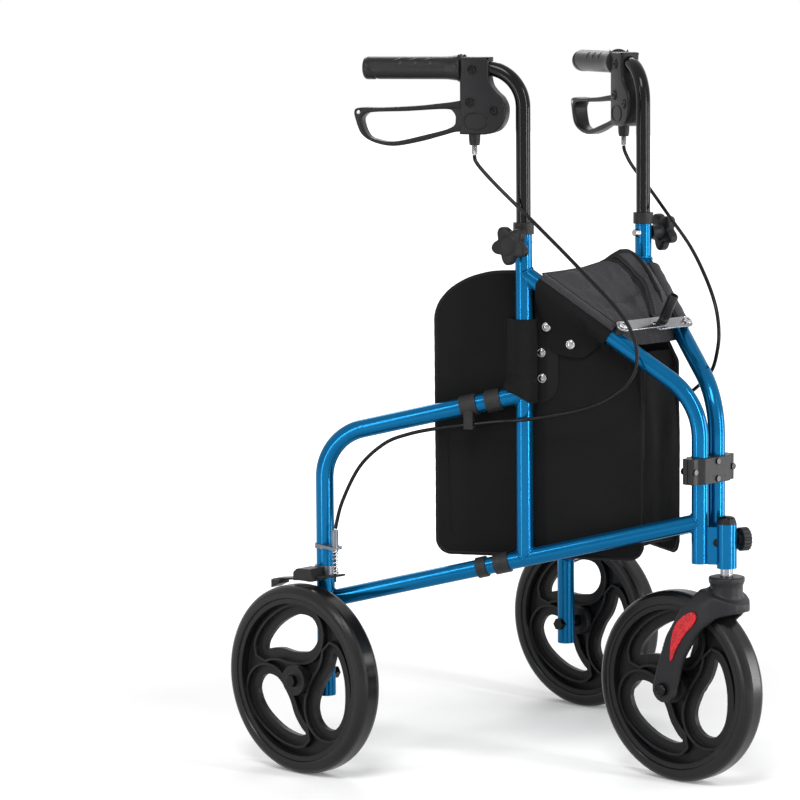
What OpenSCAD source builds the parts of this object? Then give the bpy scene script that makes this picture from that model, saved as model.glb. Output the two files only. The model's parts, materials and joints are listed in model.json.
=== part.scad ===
// Three wheel rollator: two splayed tube frames that fold about their front posts,
// a swivelling front fork, braked rear wheels and a zipped tote bag. Millimetres, +X ahead, +Z up.

/* [Stance] */
// Angle of each side frame from straight ahead
splay = 26.7; // [25:0.1:28]
// Each front post's distance from the middle
post_y = 17; // [16.5:0.5:19]
// Distance from front post to upright along a side frame
upright_u = 232; // [228:1:236]
// Distance from front post to rear leg along a side frame
leg_u = 504; // [500:1:510]

/* [Frame tubes] */
// Outside diameter of posts, uprights and lower bars
frame_tube_d = 22.2; // [21.8:0.1:22.4]
// Outside diameter of the rear tubes
rear_tube_d = 24; // [23:0.1:24.4]
// Wall of the front and lower tubes
frame_wall = 1.4; // [1.2:0.1:2]
// Wall of the rear tubes
rear_wall = 1.6; // [1.2:0.1:2]
// Height where the sloping front bar's line meets the post's line
bar_corner_z = 501; // [498:1:504]
// Height where the front bar meets the upright
bar_joint_z = 662; // [660:1:665]
// Height where the rear tube meets the upright
rear_joint_z = 505; // [502:1:506]
// Height where the rear tube's line meets the leg's line
rear_corner_z = 441; // [438:1:444]
// Height of the lower bar at the front post
lower_front_z = 346; // [344:1:348]
// Height of the lower bar at the rear leg
lower_rear_z = 224; // [222:1:226]
// Lower end of the front posts
post_bottom_z = 292; // [290:1:296]
// Lower end of the rear legs
leg_bottom_z = 97; // [95:1:98]
// Top end of the uprights
upright_top_z = 722; // [721:1:724]
// Bend radius of the front tube
front_bend_r = 92; // [88:1:96]
// Bend radius of the rear tube
rear_bend_r = 68; // [64:1:72]
// Depth of the reamed socket in each leg's lower end
leg_socket_depth = 20; // [16:1:21]
// Radial step of that socket
leg_socket_step = 0.4; // [0.3:0.1:0.6]

/* [Handles] */
// Outside diameter of the handle tubes
handle_d = 19; // [18.6:0.1:19.1]
// Wall of the handle tubes
handle_wall = 1.5; // [1.2:0.1:2]
// Height of the grips' axis
grip_axis_z = 925; // [924:1:928]
// Bend radius of the handle tubes
handle_bend_r = 50; // [46:1:52]
// Height adjustment of the handles
handle_travel = 75; // [60:1:80]
// Length of tube kept below the height slot
handle_tail = 28; // [20:1:40]
// Distance from upright to a grip's rear end
grip_reach = 212; // [211:0.5:213]
// Length of the grips
grip_length = 131; // [130:0.5:132]
// Diameter of the grips
grip_d = 29.5; // [28:0.1:31]
// Diameter of the flange at a grip's front end
grip_flange_d = 36; // [34:0.5:37]
// Thickness of that flange
grip_flange_t = 3.5; // [3:0.5:5]
// Length of the flared neck behind the flange
grip_neck = 24; // [18:1:30]
// Thickness of a grip's closed end
grip_end_t = 4; // [3:0.5:6]
// Diameter of the collars on the uprights
collar_d = 27; // [26:0.5:28]
// Height of the collars
collar_h = 15; // [13:1:16]
// Thickness of a collar's top lip
collar_lip = 5; // [4:0.5:6]
// Height of the clamp bolts
clamp_z = 700; // [698:1:701]
// Diameter of the clamp bolts
clamp_bolt_d = 6; // [5:0.5:7]
// Diameter of a clamp bolt's domed head
clamp_head_d = 13; // [11:0.5:15]
// Diameter across a clamp knob's lobes
knob_d = 52; // [48:1:54]
// Number of lobes on a clamp knob
knob_lobes = 5; // [5:1:7]
// Thickness of a clamp knob
knob_h = 14; // [12:0.5:16]
// Length of the boss between upright and knob
knob_boss = 16; // [15.5:0.5:18]
// Angle of the clamp bolts behind the frame's square
knob_turn = 15; // [10:1:20]

/* [Brake levers] */
// Width of the housing along the grip
housing_w = 39; // [38:0.5:40]
// Height of the housing
housing_h = 99; // [98.5:0.5:100]
// Thickness of the housing
housing_t = 26; // [25:0.5:28]
// Thickness of the levers
lever_t = 9; // [7:0.5:10]
// Width of a lever's tip, as a share of the lever's thickness
lever_flare = 2.4; // [2:0.1:2.6]
// Length of the lever loop behind the housing
lever_loop = 143; // [138:1:145]
// Height of the lever loop
lever_h = 60; // [57:1:61]
// Radius of the lever's root round its pivot
lever_root_r = 11; // [10:0.5:11.5]
// Diameter of the lever's pivot and screws
lever_pin_d = 5; // [4:0.5:6]
// Diameter of the brake cables
cable_d = 5; // [4:0.5:5]

/* [Rear brakes] */
// Length of a brake arm ahead of its pivot
arm_front = 42; // [40:1:44]
// Length of a brake arm behind its pivot
arm_rear = 64; // [62:1:66]
// Width of a brake arm
arm_w = 20; // [18:1:21]
// Thickness of a brake arm
arm_t = 2.5; // [2:0.5:3]
// Height of a brake arm's pivot
arm_pivot_z = 263; // [262:1:264]
// Width of a brake pedal
pedal_w = 26; // [22:1:28]
// Clearance between brake shoe and tyre
shoe_gap = 4.5; // [4:0.1:5]
// Width of a brake shoe
shoe_w = 20; // [18:1:22]
// Wire diameter of the brake springs
spring_wire = 1.2; // [1:0.1:1.4]
// Outside diameter of the brake springs
spring_d = 9; // [8.5:0.1:10]
// Number of curls in a brake spring
spring_turns = 9; // [6:1:10]

/* [Wheels] */
// Diameter over the tyres
wheel_d = 250; // [249:0.5:251]
// Width of the tyres
tyre_w = 36; // [34:0.5:37]
// Thickness of the tyres at the tread
tyre_t = 17; // [16.5:0.1:17.5]
// Rounding of the tread's shoulders
tyre_round = 10; // [8:0.5:12]
// Width of a rim's outer ring
rim_w = 31; // [29:0.5:32]
// Thickness of a rim's outer ring
rim_t = 7; // [6.5:0.1:7.2]
// Thickness of the web
web_t = 5; // [4:0.5:6]
// Thickness of the lands round the web's holes
land_t = 8; // [7:0.5:10]
// Thickness of the ribs
rib_t = 22; // [19:0.5:24]
// Width of the lands
land_w = 12.5; // [11.5:0.5:13]
// Width of the ribs
rib_w = 3.5; // [3:0.5:4]
// Diameter of the hubs
hub_d = 40; // [38:1:42]
// Length of the hubs
hub_w = 40; // [38:0.5:41]
// Diameter of the axle bolts
axle_d = 10; // [9:0.5:10.5]
// Outside diameter of the wheel bearings
bearing_d = 26; // [24:0.5:28]
// Width of the wheel bearings
bearing_w = 8; // [7:0.5:9]
// Distance from a rear leg's axis to its wheel's middle
wheel_offset = 43; // [42.5:0.5:44]

/* [Front fork] */
// Distance of the head tube ahead of the posts
head_x = 30; // [29.5:0.5:31]
// Distance of the front axle behind the head tube
trail = 75; // [74:0.5:76]
// Outside diameter of the head tube
head_d = 26; // [25:0.5:27]
// Bore of the head tube
head_bore = 20; // [19:0.5:21]
// Lower end of the head tube
head_bottom_z = 287; // [286:1:289]
// Length of the head tube
head_len = 57; // [56:1:60]
// Diameter of the stem
stem_d = 12; // [11:0.5:13]
// Overall width of the fork
fork_w = 77; // [76:0.5:79]
// Gap between the fork blades
fork_gap = 53; // [51:0.5:54]
// Height from the axle to the fork's shoulder
fork_rise = 137; // [136:0.5:139]
// Diameter of the fork's neck
neck_d = 42; // [40:1:44]
// Diameter of the ring on the neck
neck_ring_d = 47; // [45:0.5:49]
// Clearance between tyre and crown
crown_gap = 5.5; // [5:0.5:6]
// Thickness of the reflectors
reflector_t = 2; // [1.5:0.5:3]
// Diameter of the swivel lock knob
swivel_knob_d = 31; // [29:1:33]
// Thickness of the swivel lock knob
swivel_knob_h = 11; // [9:0.5:12]
// Direction of the swivel lock knob from straight ahead
swivel_knob_turn = 65; // [55:1:68]
// Height of the swivel lock knob above the head tube's lower end
swivel_knob_rise = 36; // [34:1:38]

/* [Fold joint] */
// Lower edge of the hinge bracket
hinge_z = 396; // [392:1:400]
// Height of the hinge bracket
hinge_h = 33; // [31:1:36]
// Half width of the hinge bracket
hinge_reach = 43; // [42.5:0.5:46]
// Half depth of the hinge bracket round the posts
hinge_depth = 15.5; // [15:0.5:17]
// Distance of the lock link pivots from the posts
link_u = 112; // [111:0.5:113]
// Length of the right lock link, pivot to knee
link_long = 75; // [74:0.5:76]
// Width of the lock links
link_w = 18; // [16:0.5:18.5]
// Thickness of the lock links
link_t = 2.5; // [2:0.1:2.6]
// Length of the lock handle
lock_handle_len = 42; // [36:1:46]
// Diameter of the lock handle
lock_handle_d = 13; // [11:0.5:14]

/* [Tube clips] */
// Distance of the rear tube's clamp from the post
upper_clamp_u = 305; // [300:1:308]
// Distance of the rear tube's band from the post
upper_band_u = 272; // [268:1:276]
// Distance of the lower bar's clamp from the post
lower_clamp_u = 289; // [286:1:294]
// Distance of the lower bar's band from the post
lower_band_u = 262; // [258:1:266]
// Width of the bands and of the upper clamp
band_w = 20; // [16:1:22]
// Thickness of the bands and clamps
clip_t = 2.6; // [2:0.1:2.8]

/* [Bag] */
// Front edge of the bag's sides, from the post
bag_front_u = 80; // [78:1:84]
// Rear edge of the bag's sides, from the post
bag_rear_u = 355; // [350:1:362]
// Lower edge of the bag
bag_bottom_z = 291; // [288:1:294]
// Upper edge of the bag's sides
bag_top_z = 661; // [658:1:664]
// Large corner at the top of the bag's sides
bag_corner_r = 70; // [60:1:80]
// Small corners of the bag's sides
bag_round = 18; // [12:1:22]
// Thickness of the bag's panels
bag_t = 3; // [2.5:0.5:3.5]
// Distance of the bag's sides inside the rear tubes
bag_inset = 5; // [4.5:0.5:5.5]
// Thickness of the sleeves round the tubes
sleeve_t = 2.4; // [2:0.1:2.6]
// Height of the flap under the front bar's sleeve
flap_h = 90; // [70:1:95]

/* [Hidden] */
$fn = 48;

// Fits: radial gaps of seats and running pins, side gaps of holes and neighbours
overrun = 2;
seat_gap = 0.05;
pin_gap = 0.08;
hole_gap = 0.4;
clear_gap = 0.5;
joint_lap = 0.5;
weld_gap = 0.25;
bend_swell = 0.06;

// Frame: points are [distance behind the post, height] in a side frame's plane
frame_bore = handle_d + 2 * pin_gap;
tube_bore = frame_tube_d - 2 * frame_wall;
rear_bore = rear_tube_d - 2 * rear_wall;
front_slope = atan((bar_joint_z - bar_corner_z) / upright_u);
rear_slope = atan((rear_joint_z - rear_corner_z) / (leg_u - upright_u));
lower_slope = atan((lower_front_z - lower_rear_z) / leg_u);
function bar_z(u) = bar_corner_z + u * tan(front_slope);
function rear_z(u) = rear_joint_z - (u - upright_u) * tan(rear_slope);
function lower_z(u) = lower_front_z - u * tan(lower_slope);
front_bend_cut = front_bend_r * tan((90 - front_slope) / 2);
rear_bend_cut = rear_bend_r * tan((90 - rear_slope) / 2);
front_bend_end = [front_bend_cut * cos(front_slope), bar_corner_z + front_bend_cut * sin(front_slope)];
rear_bend_end = [leg_u - rear_bend_cut * cos(rear_slope), rear_corner_z + rear_bend_cut * sin(rear_slope)];
upright_bottom_z = lower_z(upright_u);
wheel_r = wheel_d / 2;
axle_z = wheel_r;
post_x = (leg_u * cos(splay) - head_x + trail) / 2;
front_axle_x = post_x + head_x - trail;
axle_nut_d = 1.7 * axle_d;
axle_nut_h = 0.6 * axle_d;

// Plane of the two front bars: x runs ahead and down, y to the left, z out of the plane
bar_tilt = atan(tan(front_slope) / cos(splay));
bar_stretch = sqrt(pow(cos(splay), 2) + pow(tan(front_slope), 2));
link_pivot_y = post_y + link_u * sin(splay);
link_pivot_x = -link_u * bar_stretch;
link_short = 2 * link_pivot_y - link_long;
link_floor = frame_tube_d / 2 + 1.6 * sleeve_t;
link_step = link_t + 5 * clear_gap;
link_pin_d = link_w / 3;

// Handles and levers
handle_bottom_z = clamp_z - handle_travel - handle_tail;
handle_end_u = upright_u + grip_reach - grip_end_t - clear_gap;
grip_front_u = upright_u + grip_reach - grip_length;
clamp_slot_w = clamp_bolt_d + 2 * hole_gap;
clamp_head_h = 0.35 * clamp_head_d;
housing_top_z = grip_axis_z + 0.475 * grip_d;
housing_bottom_z = housing_top_z - housing_h;
screw_head_d = 1.7 * lever_pin_d;
screw_head_h = 0.4 * lever_pin_d;
lever_slot = lever_t + 3 * clear_gap;
lever_top_z = housing_top_z - 0.555 * housing_h;
lever_pivot = [grip_front_u - 1.18 * housing_w, housing_top_z - 0.69 * housing_h];
boot_u = grip_front_u - 0.42 * housing_w;
boot_d = 0.4 * housing_w;
boot_h = 0.145 * housing_h;
adjuster_d = 0.2 * housing_w;
adjuster_h = 0.12 * housing_h;

// Outlines, as shares of the sizes they are drawn to; a third number is a corner's radius share
housing_shares = [
    [0, 0, 0.1], [1, 0, 0.1], [0.9, 0.17, 0.2], [1.03, 0.4, 0.4], [1.42, 0.53, 0.3], [1.57, 0.66, 0.35],
    [1.5, 0.83, 0.4], [1.25, 0.95, 0.3], [0.85, 1, 0.3], [0, 1, 0.08]
];
slot_shares = [
    [-0.2, 0.39], [0.9, 0.52], [1.18, 0.565], [1.18, 0.815], [0.9, 0.865], [0.2, 0.975], [-0.2, 0.975]
];
lever_shares = [
    [-0.02, 0.01], [0.1, 0.05], [0.224, 0.083], [0.427, 0.132], [0.748, 0.17], [0.95, 0.17], [1, 0.25],
    [0.985, 0.45], [0.935, 0.74], [0.82, 0.92], [0.636, 1], [0.4, 0.908], [0.19, 0.776], [0.05, 0.69],
    [-0.02, 0.62]
];
lever_gap_shares = [
    [0.925, 0.47], [0.9, 0.33], [0.82, 0.27], [0.503, 0.245], [0.15, 0.2], [0.075, 0.27], [0.056, 0.42],
    [0.098, 0.594], [0.364, 0.767], [0.636, 0.9], [0.8, 0.85], [0.878, 0.75]
];
flare_shares = [[-0.5, 0, 1], [0.1, 0, 1], [0.9, 0, lever_flare], [1.2, 0, lever_flare]];
screw_shares = [[0.45, 0.16], [0.36, 0.58]];
hole_shares = [
    [90, 0.585], [80, 0.616], [60, 0.628], [40, 0.656], [25, 0.688], [11, 0.686], [1, 0.608], [-4, 0.496],
    [-2, 0.384], [8, 0.312], [25, 0.284], [50, 0.304], [70, 0.416], [84, 0.528]
];
fork_shares = [
    [0.387, 1, 0.02], [0.197, 0.774, 0.3], [0.029, 0.511, 0.5], [-0.085, 0.17, 0.5], [-0.13, 0, 0.05],
    [0.13, 0, 0.05], [0.212, 0.292, 0.5], [0.401, 0.591, 0.5], [0.606, 0.745, 0.2], [0.73, 0.775, 0.03],
    [0.82, 0.8, 0.015], [0.82, 0.845, 0.015]
];
plan_shares = [
    [-0.4, 0.5], [0.3, 0.5], [0.42, 0.49], [0.53, 0.45], [0.62, 0.385], [0.69, 0.3], [0.745, 0.18],
    [0.765, 0.03]
];
shoulder_shares = [[0.5, -0.3], [0.5, 0.8], [0.47, 0.88], [0.4, 0.95], [0.32, 1.01]];
reflector_shares = [
    [0.358, 0.781], [0.22, 0.7], [0.14, 0.58], [0.105, 0.4], [0.11, 0.285], [0.17, 0.4], [0.26, 0.54],
    [0.37, 0.66], [0.41, 0.74]
];
pedal_shares = [[-0.28, -0.6, 0.1], [0.3, -0.85, 0.1], [0.3, 0.1, 0.1], [0.2, 0.5, 0.15], [-0.18, 0.6, 0.2]];

// Cable routes in a side frame: distance behind the post, distance outward, height
right_cable_route = [
    [297, 0, 813], [295, 1, 805], [284, 6, 793], [262, 14, 773], [238, 20, 752], [217, 22, 733],
    [195, 23, 712], [172, 24, 690], [149, 24, 667], [127, 24, 645], [106, 24, 623], [89, 24, 600],
    [79, 24, 576], [77, 24, 556], [81, 24, 538], [94, 24, 519], [119, 24, 501], [150, 24, 489],
    [190, 22, 480], [232, 20, 473], [262, 14, 470], [304, 8, 464], [350, 8, 457], [386, 9, 449],
    [418, 11, 436], [450, 17, 406], [472, 25, 360], [481, 28, 324]
];
left_cable_route = [
    [297, 0, 813], [295, 1, 805], [287, 5, 791], [274, 11, 776], [252, 19, 756], [196, 22, 723],
    [130, 22, 688], [82, 22, 651], [52, 22, 617], [41, 22, 586], [45, 22, 559], [64, 22, 529],
    [110, 22, 503], [146, 22, 489],
    [180, 21, 480], [232, 20, 473], [262, 14, 470], [304, 8, 464], [350, 8, 457], [386, 9, 449],
    [418, 11, 436], [450, 17, 406], [472, 25, 360], [481, 28, 324]
];
cable_clip_at = [304, 8, 464];
cable_clip_w = 12;
cable_sides = 8;
cable_steps = 3;

// Wheels
tyre_in_r = wheel_r - tyre_t;
rim_in_r = tyre_in_r - rim_t;
hole_turn = 245;
hole_count = 3;

// Brakes: x runs to the rear, y outward from a leg's axis
arm_slope = 7.5;
arm_rest_z = 256;
arm_drop = arm_pivot_z - arm_rest_z;
spring_x = -32;
spring_y = 14.5;
bracket_z = 296;
bracket_t = 4;
bracket_adjuster_h = 22;
arm_pin_d = 8;
arm_inner_y = rear_tube_d / 2 + bracket_t - clear_gap;
function arm_floor_z(x) = arm_pivot_z - arm_drop - x * tan(arm_slope);
spring_bottom_z = arm_floor_z(spring_x - spring_d / 2) + 1.1 * arm_t + clear_gap;
spring_top_z = bracket_z - clear_gap;
spring_r = (spring_d - spring_wire) / 2;
spring_rings = 8;
spring_sides = 6;
spring_rise = spring_top_z - spring_bottom_z - spring_wire;
spring_gap = spring_rise / spring_turns - spring_wire;
echo(brake_spring_least_gap = spring_gap);

// Bag: the sides hang inside the frame planes
bag_out_v = -rear_tube_d / 2 - bag_inset;
bag_in_v = bag_out_v - bag_t;
bag_seam = 8;
sleeve_r = frame_tube_d / 2 + sleeve_t;
bar_sleeve_u = [124, 206];
upright_sleeve_z = [525, 602];

// Colours
paint = [0.05, 0.32, 0.62];
silver = [0.75, 0.75, 0.76];
dark = [0.08, 0.08, 0.08];
grey = [0.3, 0.3, 0.32];
cloth = [0.12, 0.12, 0.13];
red = [0.7, 0.05, 0.05];

// Curve helpers
function corner_arc(a, b, c, r, n) =
    let (
        u = (a - b) / norm(a - b),
        w = (c - b) / norm(c - b),
        half = acos(u * w) / 2,
        o = b + (u + w) / norm(u + w) * r / sin(half),
        s = b + u * r / tan(half) - o,
        e = b + w * r / tan(half) - o,
        start = atan2(s[1], s[0]),
        sweep = (atan2(e[1], e[0]) - start + 540) % 360 - 180
    )
    [for (k = [0:n]) o + r * [cos(start + sweep * k / n), sin(start + sweep * k / n)]];
function flat(p) = [p[0], p[1]];
function rounded(p, n) =
    let (m = len(p))
    [
        for (i = [0:m - 1])
            each p[i][2] == 0
                ? [flat(p[i])]
                : corner_arc(flat(p[(i + m - 1) % m]), flat(p[i]), flat(p[(i + 1) % m]), p[i][2], n)
    ];
function spline_at(a, b, c, d, t) =
    0.5 * (2 * b + (c - a) * t + (2 * a - 5 * b + 4 * c - d) * t * t + (3 * b - a - 3 * c + d) * t * t * t);
function closed_curve(p, n) =
    let (m = len(p))
    [
        for (i = [0:m - 1], k = [0:n - 1])
            spline_at(p[(i + m - 1) % m], p[i], p[(i + 1) % m], p[(i + 2) % m], k / n)
    ];
function open_curve(p, n) =
    let (m = len(p) - 1)
    concat(
        [for (i = [0:m - 1], k = [0:n - 1])
            spline_at(p[max(i - 1, 0)], p[i], p[i + 1], p[min(i + 2, m)], k / n)],
        [p[m]]
    );
function grown(p, d) =
    let (m = len(p))
    [
        for (i = [0:m - 1])
            let (t = p[(i + 1) % m] - p[(i + m - 1) % m])
            p[i] + d * [-t[1], t[0]] / norm(t)
    ];
function run_dir(p, i) =
    let (d = p[min(i + 1, len(p) - 1)] - p[max(i - 1, 0)])
    d / norm(d);
function tube_ring(p, i, r, sides, ref) =
    let (
        t = run_dir(p, i),
        a = cross(t, ref) / norm(cross(t, ref)),
        b = cross(t, a)
    )
    [for (k = [0:sides - 1]) p[i] + r * (a * cos(360 * k / sides) + b * sin(360 * k / sides))];

// Shape helpers
module tube_along(p, r, sides, ref) {
    n = len(p);
    start_cap = [[for (k = [0:sides - 1]) k]];
    end_cap = [[for (k = [sides - 1:-1:0]) (n - 1) * sides + k]];
    walls = [
        for (i = [0:n - 2], k = [0:sides - 1])
            let (
                a = i * sides + k,
                b = i * sides + (k + 1) % sides
            )
            each [[a, a + sides, b + sides], [a, b + sides, b]]
    ];
    polyhedron(
        points = [for (i = [0:n - 1]) each tube_ring(p, i, r, sides, ref)],
        faces = concat(start_cap, end_cap, walls)
    );
}

module rod(from, to, d) {
    run = to - from;
    translate([from[0], 0, from[1]])
        rotate([0, atan2(run[0], run[1]), 0])
            cylinder(d = d, h = norm(run));
}

module bend(centre, r, d, start, sweep) {
    translate([centre[0], 0, centre[1]])
        rotate([90, 0, 0])
            rotate([0, 0, start])
                rotate_extrude(angle = sweep)
                    translate([r, 0])
                        circle(d = d);
}

module pipe(from, to, d, bore) {
    lead = overrun * (to - from) / norm(to - from);
    difference() {
        rod(from, to, d);
        rod(from - lead, to + lead, bore);
    }
}

module pipe_bend(centre, r, d, bore, start, sweep) {
    difference() {
        bend(centre, r, d + bend_swell, start, sweep);
        bend(centre, r, bore + bend_swell, start - 1, sweep + 2);
    }
}

module upright_plate(t) {
    rotate([90, 0, 0])
        linear_extrude(height = t, center = true)
            children();
}

module tube_band(d, w) {
    difference() {
        cylinder(d = d + 2 * clip_t, h = w, center = true);
        cylinder(d = d + 2 * seat_gap, h = w + overrun, center = true);
    }
}

// Places
module right_side() {
    translate([post_x, -post_y, 0])
        rotate([0, 0, 180 + splay])
            children();
}

module left_side() {
    mirror([0, 1, 0])
        right_side()
            children();
}

module at_leg() {
    translate([leg_u, 0, 0])
        rotate([0, 0, -splay])
            children();
}

module outward() {
    rotate([-90, 0, 0])
        children();
}

module at_clamp() {
    translate([upright_u, 0, clamp_z])
        rotate([0, 0, -knob_turn])
            outward()
                children();
}

module at_lever_pivot() {
    translate([lever_pivot[0], 0, lever_pivot[1]])
        outward()
            children();
}

module on_bar(u) {
    translate([u, 0, bar_z(u)])
        rotate([0, 90 - front_slope, 0])
            children();
}

module on_rear(u) {
    translate([u, 0, rear_z(u)])
        rotate([0, 90 + rear_slope, 0])
            children();
}

module on_lower(u) {
    translate([u, 0, lower_z(u)])
        rotate([0, 90 + lower_slope, 0])
            children();
}

module bar_plane() {
    translate([post_x, 0, bar_corner_z])
        rotate([0, bar_tilt, 0])
            children();
}

module rear_wheel_place() {
    at_leg()
        translate([0, wheel_offset, axle_z])
            outward()
                children();
}

module front_wheel_place() {
    translate([front_axle_x, 0, axle_z])
        rotate([0, 0, 180])
            outward()
                children();
}

module swivel_knob_place() {
    translate([post_x + head_x, 0, head_bottom_z + swivel_knob_rise])
        rotate([0, 0, swivel_knob_turn])
            rotate([0, 90, 0])
                children();
}

// Frame tubes
module front_run(d, extra) {
    bend_z = bar_corner_z - front_bend_cut;
    rod([0, post_bottom_z - extra], [0, bend_z + joint_lap], d);
    bend([front_bend_r, bend_z], front_bend_r, d + bend_swell, 90 + front_slope, 90 - front_slope);
    rod(front_bend_end - joint_lap * [cos(front_slope), sin(front_slope)], [upright_u, bar_joint_z], d);
}

module rear_run(d, extra) {
    bend_z = rear_corner_z - rear_bend_cut;
    rod([leg_u, leg_bottom_z - extra], [leg_u, bend_z + joint_lap], d);
    bend([leg_u - rear_bend_r, bend_z], rear_bend_r, d + bend_swell, 0, 90 - rear_slope);
    rod([upright_u, rear_joint_z], rear_bend_end + joint_lap * [cos(rear_slope), -sin(rear_slope)], d);
}

module lower_run(d) {
    rod([0, lower_front_z], [leg_u, lower_rear_z], d);
}

module upright_run(d) {
    rod([upright_u, upright_bottom_z], [upright_u, upright_top_z], d);
}

module leg_run(d) {
    rod([leg_u, leg_bottom_z], [leg_u, rear_corner_z - rear_bend_cut], d);
}

module upright_shape() {
    difference() {
        upright_run(frame_tube_d);
        rod([upright_u, upright_bottom_z - overrun], [upright_u, upright_top_z + overrun], frame_bore);
        lower_run(frame_tube_d + 2 * weld_gap);
        at_clamp()
            cylinder(d = clamp_slot_w, h = 2 * frame_tube_d, center = true);
    }
}

module front_tube_shape() {
    bend_z = bar_corner_z - front_bend_cut;
    bend_mid = [front_bend_r, bend_z];
    bar_start = front_bend_end - joint_lap * [cos(front_slope), sin(front_slope)];
    pipe([0, post_bottom_z], [0, bend_z + joint_lap], frame_tube_d, tube_bore);
    pipe_bend(bend_mid, front_bend_r, frame_tube_d, tube_bore, 90 + front_slope, 90 - front_slope);
    difference() {
        pipe(bar_start, [upright_u, bar_joint_z], frame_tube_d, tube_bore);
        upright_run(frame_tube_d + 2 * weld_gap);
    }
}

module rear_tube_shape() {
    socket_top_z = leg_bottom_z + leg_socket_depth;
    difference() {
        rear_run(rear_tube_d, 0);
        rear_run(rear_bore, overrun);
        upright_run(frame_tube_d);
        rod([leg_u, leg_bottom_z - overrun], [leg_u, socket_top_z], rear_bore + 2 * leg_socket_step);
        at_leg()
            translate([0, 0, axle_z])
                outward()
                    cylinder(d = axle_d + 2 * pin_gap, h = 2 * rear_tube_d, center = true);
    }
}

module lower_bar_shape() {
    difference() {
        lower_run(frame_tube_d);
        lower_run(tube_bore);
        rod([0, post_bottom_z], [0, bar_corner_z - front_bend_cut], frame_tube_d + 2 * weld_gap);
        leg_run(rear_tube_d);
    }
}

module collar_shape() {
    collar_top_z = upright_top_z + collar_lip;
    difference() {
        rod([upright_u, collar_top_z - collar_h], [upright_u, collar_top_z], collar_d);
        upright_run(frame_tube_d + 2 * seat_gap);
        rod([upright_u, upright_bottom_z], [upright_u, collar_top_z + overrun], frame_bore);
    }
}

module clamp_bolt_shape() {
    difference() {
        at_clamp()
            translate([0, 0, -frame_tube_d / 2 - clamp_head_h])
                cylinder(d1 = 0.7 * clamp_head_d, d2 = clamp_head_d, h = clamp_head_h + overrun);
        upright_run(frame_tube_d);
    }
    at_clamp()
        translate([0, 0, -frame_tube_d / 2 - clamp_head_h / 2])
            cylinder(d = clamp_bolt_d, h = frame_tube_d + clamp_head_h / 2 + knob_boss + knob_h / 2);
}

module clamp_knob_shape() {
    at_clamp()
        translate([0, 0, frame_tube_d / 2 + clear_gap])
            difference() {
                union() {
                    cylinder(d = 3 * clamp_bolt_d, h = knob_boss);
                    translate([0, 0, knob_boss - clear_gap])
                        linear_extrude(height = knob_h)
                            polygon([
                                for (a = [0:5:355])
                                    knob_d / 2 * (0.83 + 0.17 * cos(knob_lobes * a)) * [cos(a), sin(a)]
                            ]);
                }
                translate([0, 0, -overrun])
                    cylinder(d = clamp_bolt_d + 2 * pin_gap, h = knob_boss + knob_h / 2 + overrun);
            }
}

module tube_clips_shape() {
    clip_corner = cable_clip_at - cable_clip_w / 2 * [1, 1, 1];
    on_rear(upper_band_u)
        tube_band(rear_tube_d, band_w);
    on_lower(lower_band_u)
        tube_band(frame_tube_d, band_w);
    on_lower(lower_clamp_u)
        tube_band(frame_tube_d, 0.65 * band_w);
    difference() {
        union() {
            on_rear(upper_clamp_u)
                cylinder(d = rear_tube_d + 2 * clip_t, h = 1.1 * band_w, center = true);
            translate(clip_corner)
                cube([cable_clip_w, cable_clip_w, rear_z(cable_clip_at[0]) - cable_clip_at[2]]);
        }
        rear_run(rear_tube_d + 2 * seat_gap, 0);
        translate(cable_clip_at)
            rotate([0, 90 + rear_slope, 0])
                cylinder(d = cable_d + 4 * hole_gap, h = 3 * cable_clip_w, center = true);
    }
}

// Lock links and their screws, drawn in the plane of the front bars
module link_screw(side, lift) {
    head_h = link_floor + lift + link_t + clear_gap;
    bar_plane()
        translate([link_pivot_x, side * link_pivot_y, 0])
            difference() {
                union() {
                    cylinder(d = link_pin_d, h = head_h + link_t / 2);
                    cylinder(d = 2 * link_pin_d, h = link_floor + lift - clear_gap);
                    translate([0, 0, head_h])
                        cylinder(d = 2 * link_pin_d, h = link_t);
                }
                rotate([0, -bar_tilt, 0])
                    rotate([0, 0, 180 - side * splay])
                        rotate([0, 90 - front_slope, 0])
                            cylinder(d = frame_tube_d, h = 4 * frame_tube_d, center = true);
            }
}

module link_plate(reach) {
    difference() {
        union() {
            cylinder(d = link_w, h = link_t);
            translate([0, reach, 0])
                cylinder(d = link_w, h = link_t);
            translate([-link_w / 2, 0, 0])
                cube([link_w, reach, link_t]);
        }
        translate([0, 0, -overrun])
            cylinder(d = link_pin_d + 2 * pin_gap, h = link_t + 2 * overrun);
    }
}

// Handles
module handle_run(d, extra) {
    bend_z = grip_axis_z - handle_bend_r;
    bend_u = upright_u + handle_bend_r;
    rod([upright_u, handle_bottom_z - extra], [upright_u, bend_z + joint_lap], d);
    bend([bend_u, bend_z], handle_bend_r, d + bend_swell, 90, 90);
    rod([bend_u - joint_lap, grip_axis_z], [handle_end_u + extra, grip_axis_z], d);
}

module handle_tube_shape() {
    bend_z = grip_axis_z - handle_bend_r;
    bend_u = upright_u + handle_bend_r;
    bore = handle_d - 2 * handle_wall;
    slot_r = clamp_slot_w / 2;
    slot_edge = [
        for (a = [180:15:360]) slot_r * [cos(a), sin(a)],
        for (a = [0:15:180]) slot_r * [cos(a), sin(a)] + [0, handle_travel]
    ];
    difference() {
        pipe([upright_u, handle_bottom_z], [upright_u, bend_z + joint_lap], handle_d, bore);
        at_clamp()
            linear_extrude(height = 2 * handle_d, center = true)
                polygon(slot_edge);
    }
    pipe_bend([bend_u, bend_z], handle_bend_r, handle_d, bore, 90, 90);
    pipe([bend_u - joint_lap, grip_axis_z], [handle_end_u, grip_axis_z], handle_d, bore);
}

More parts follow.
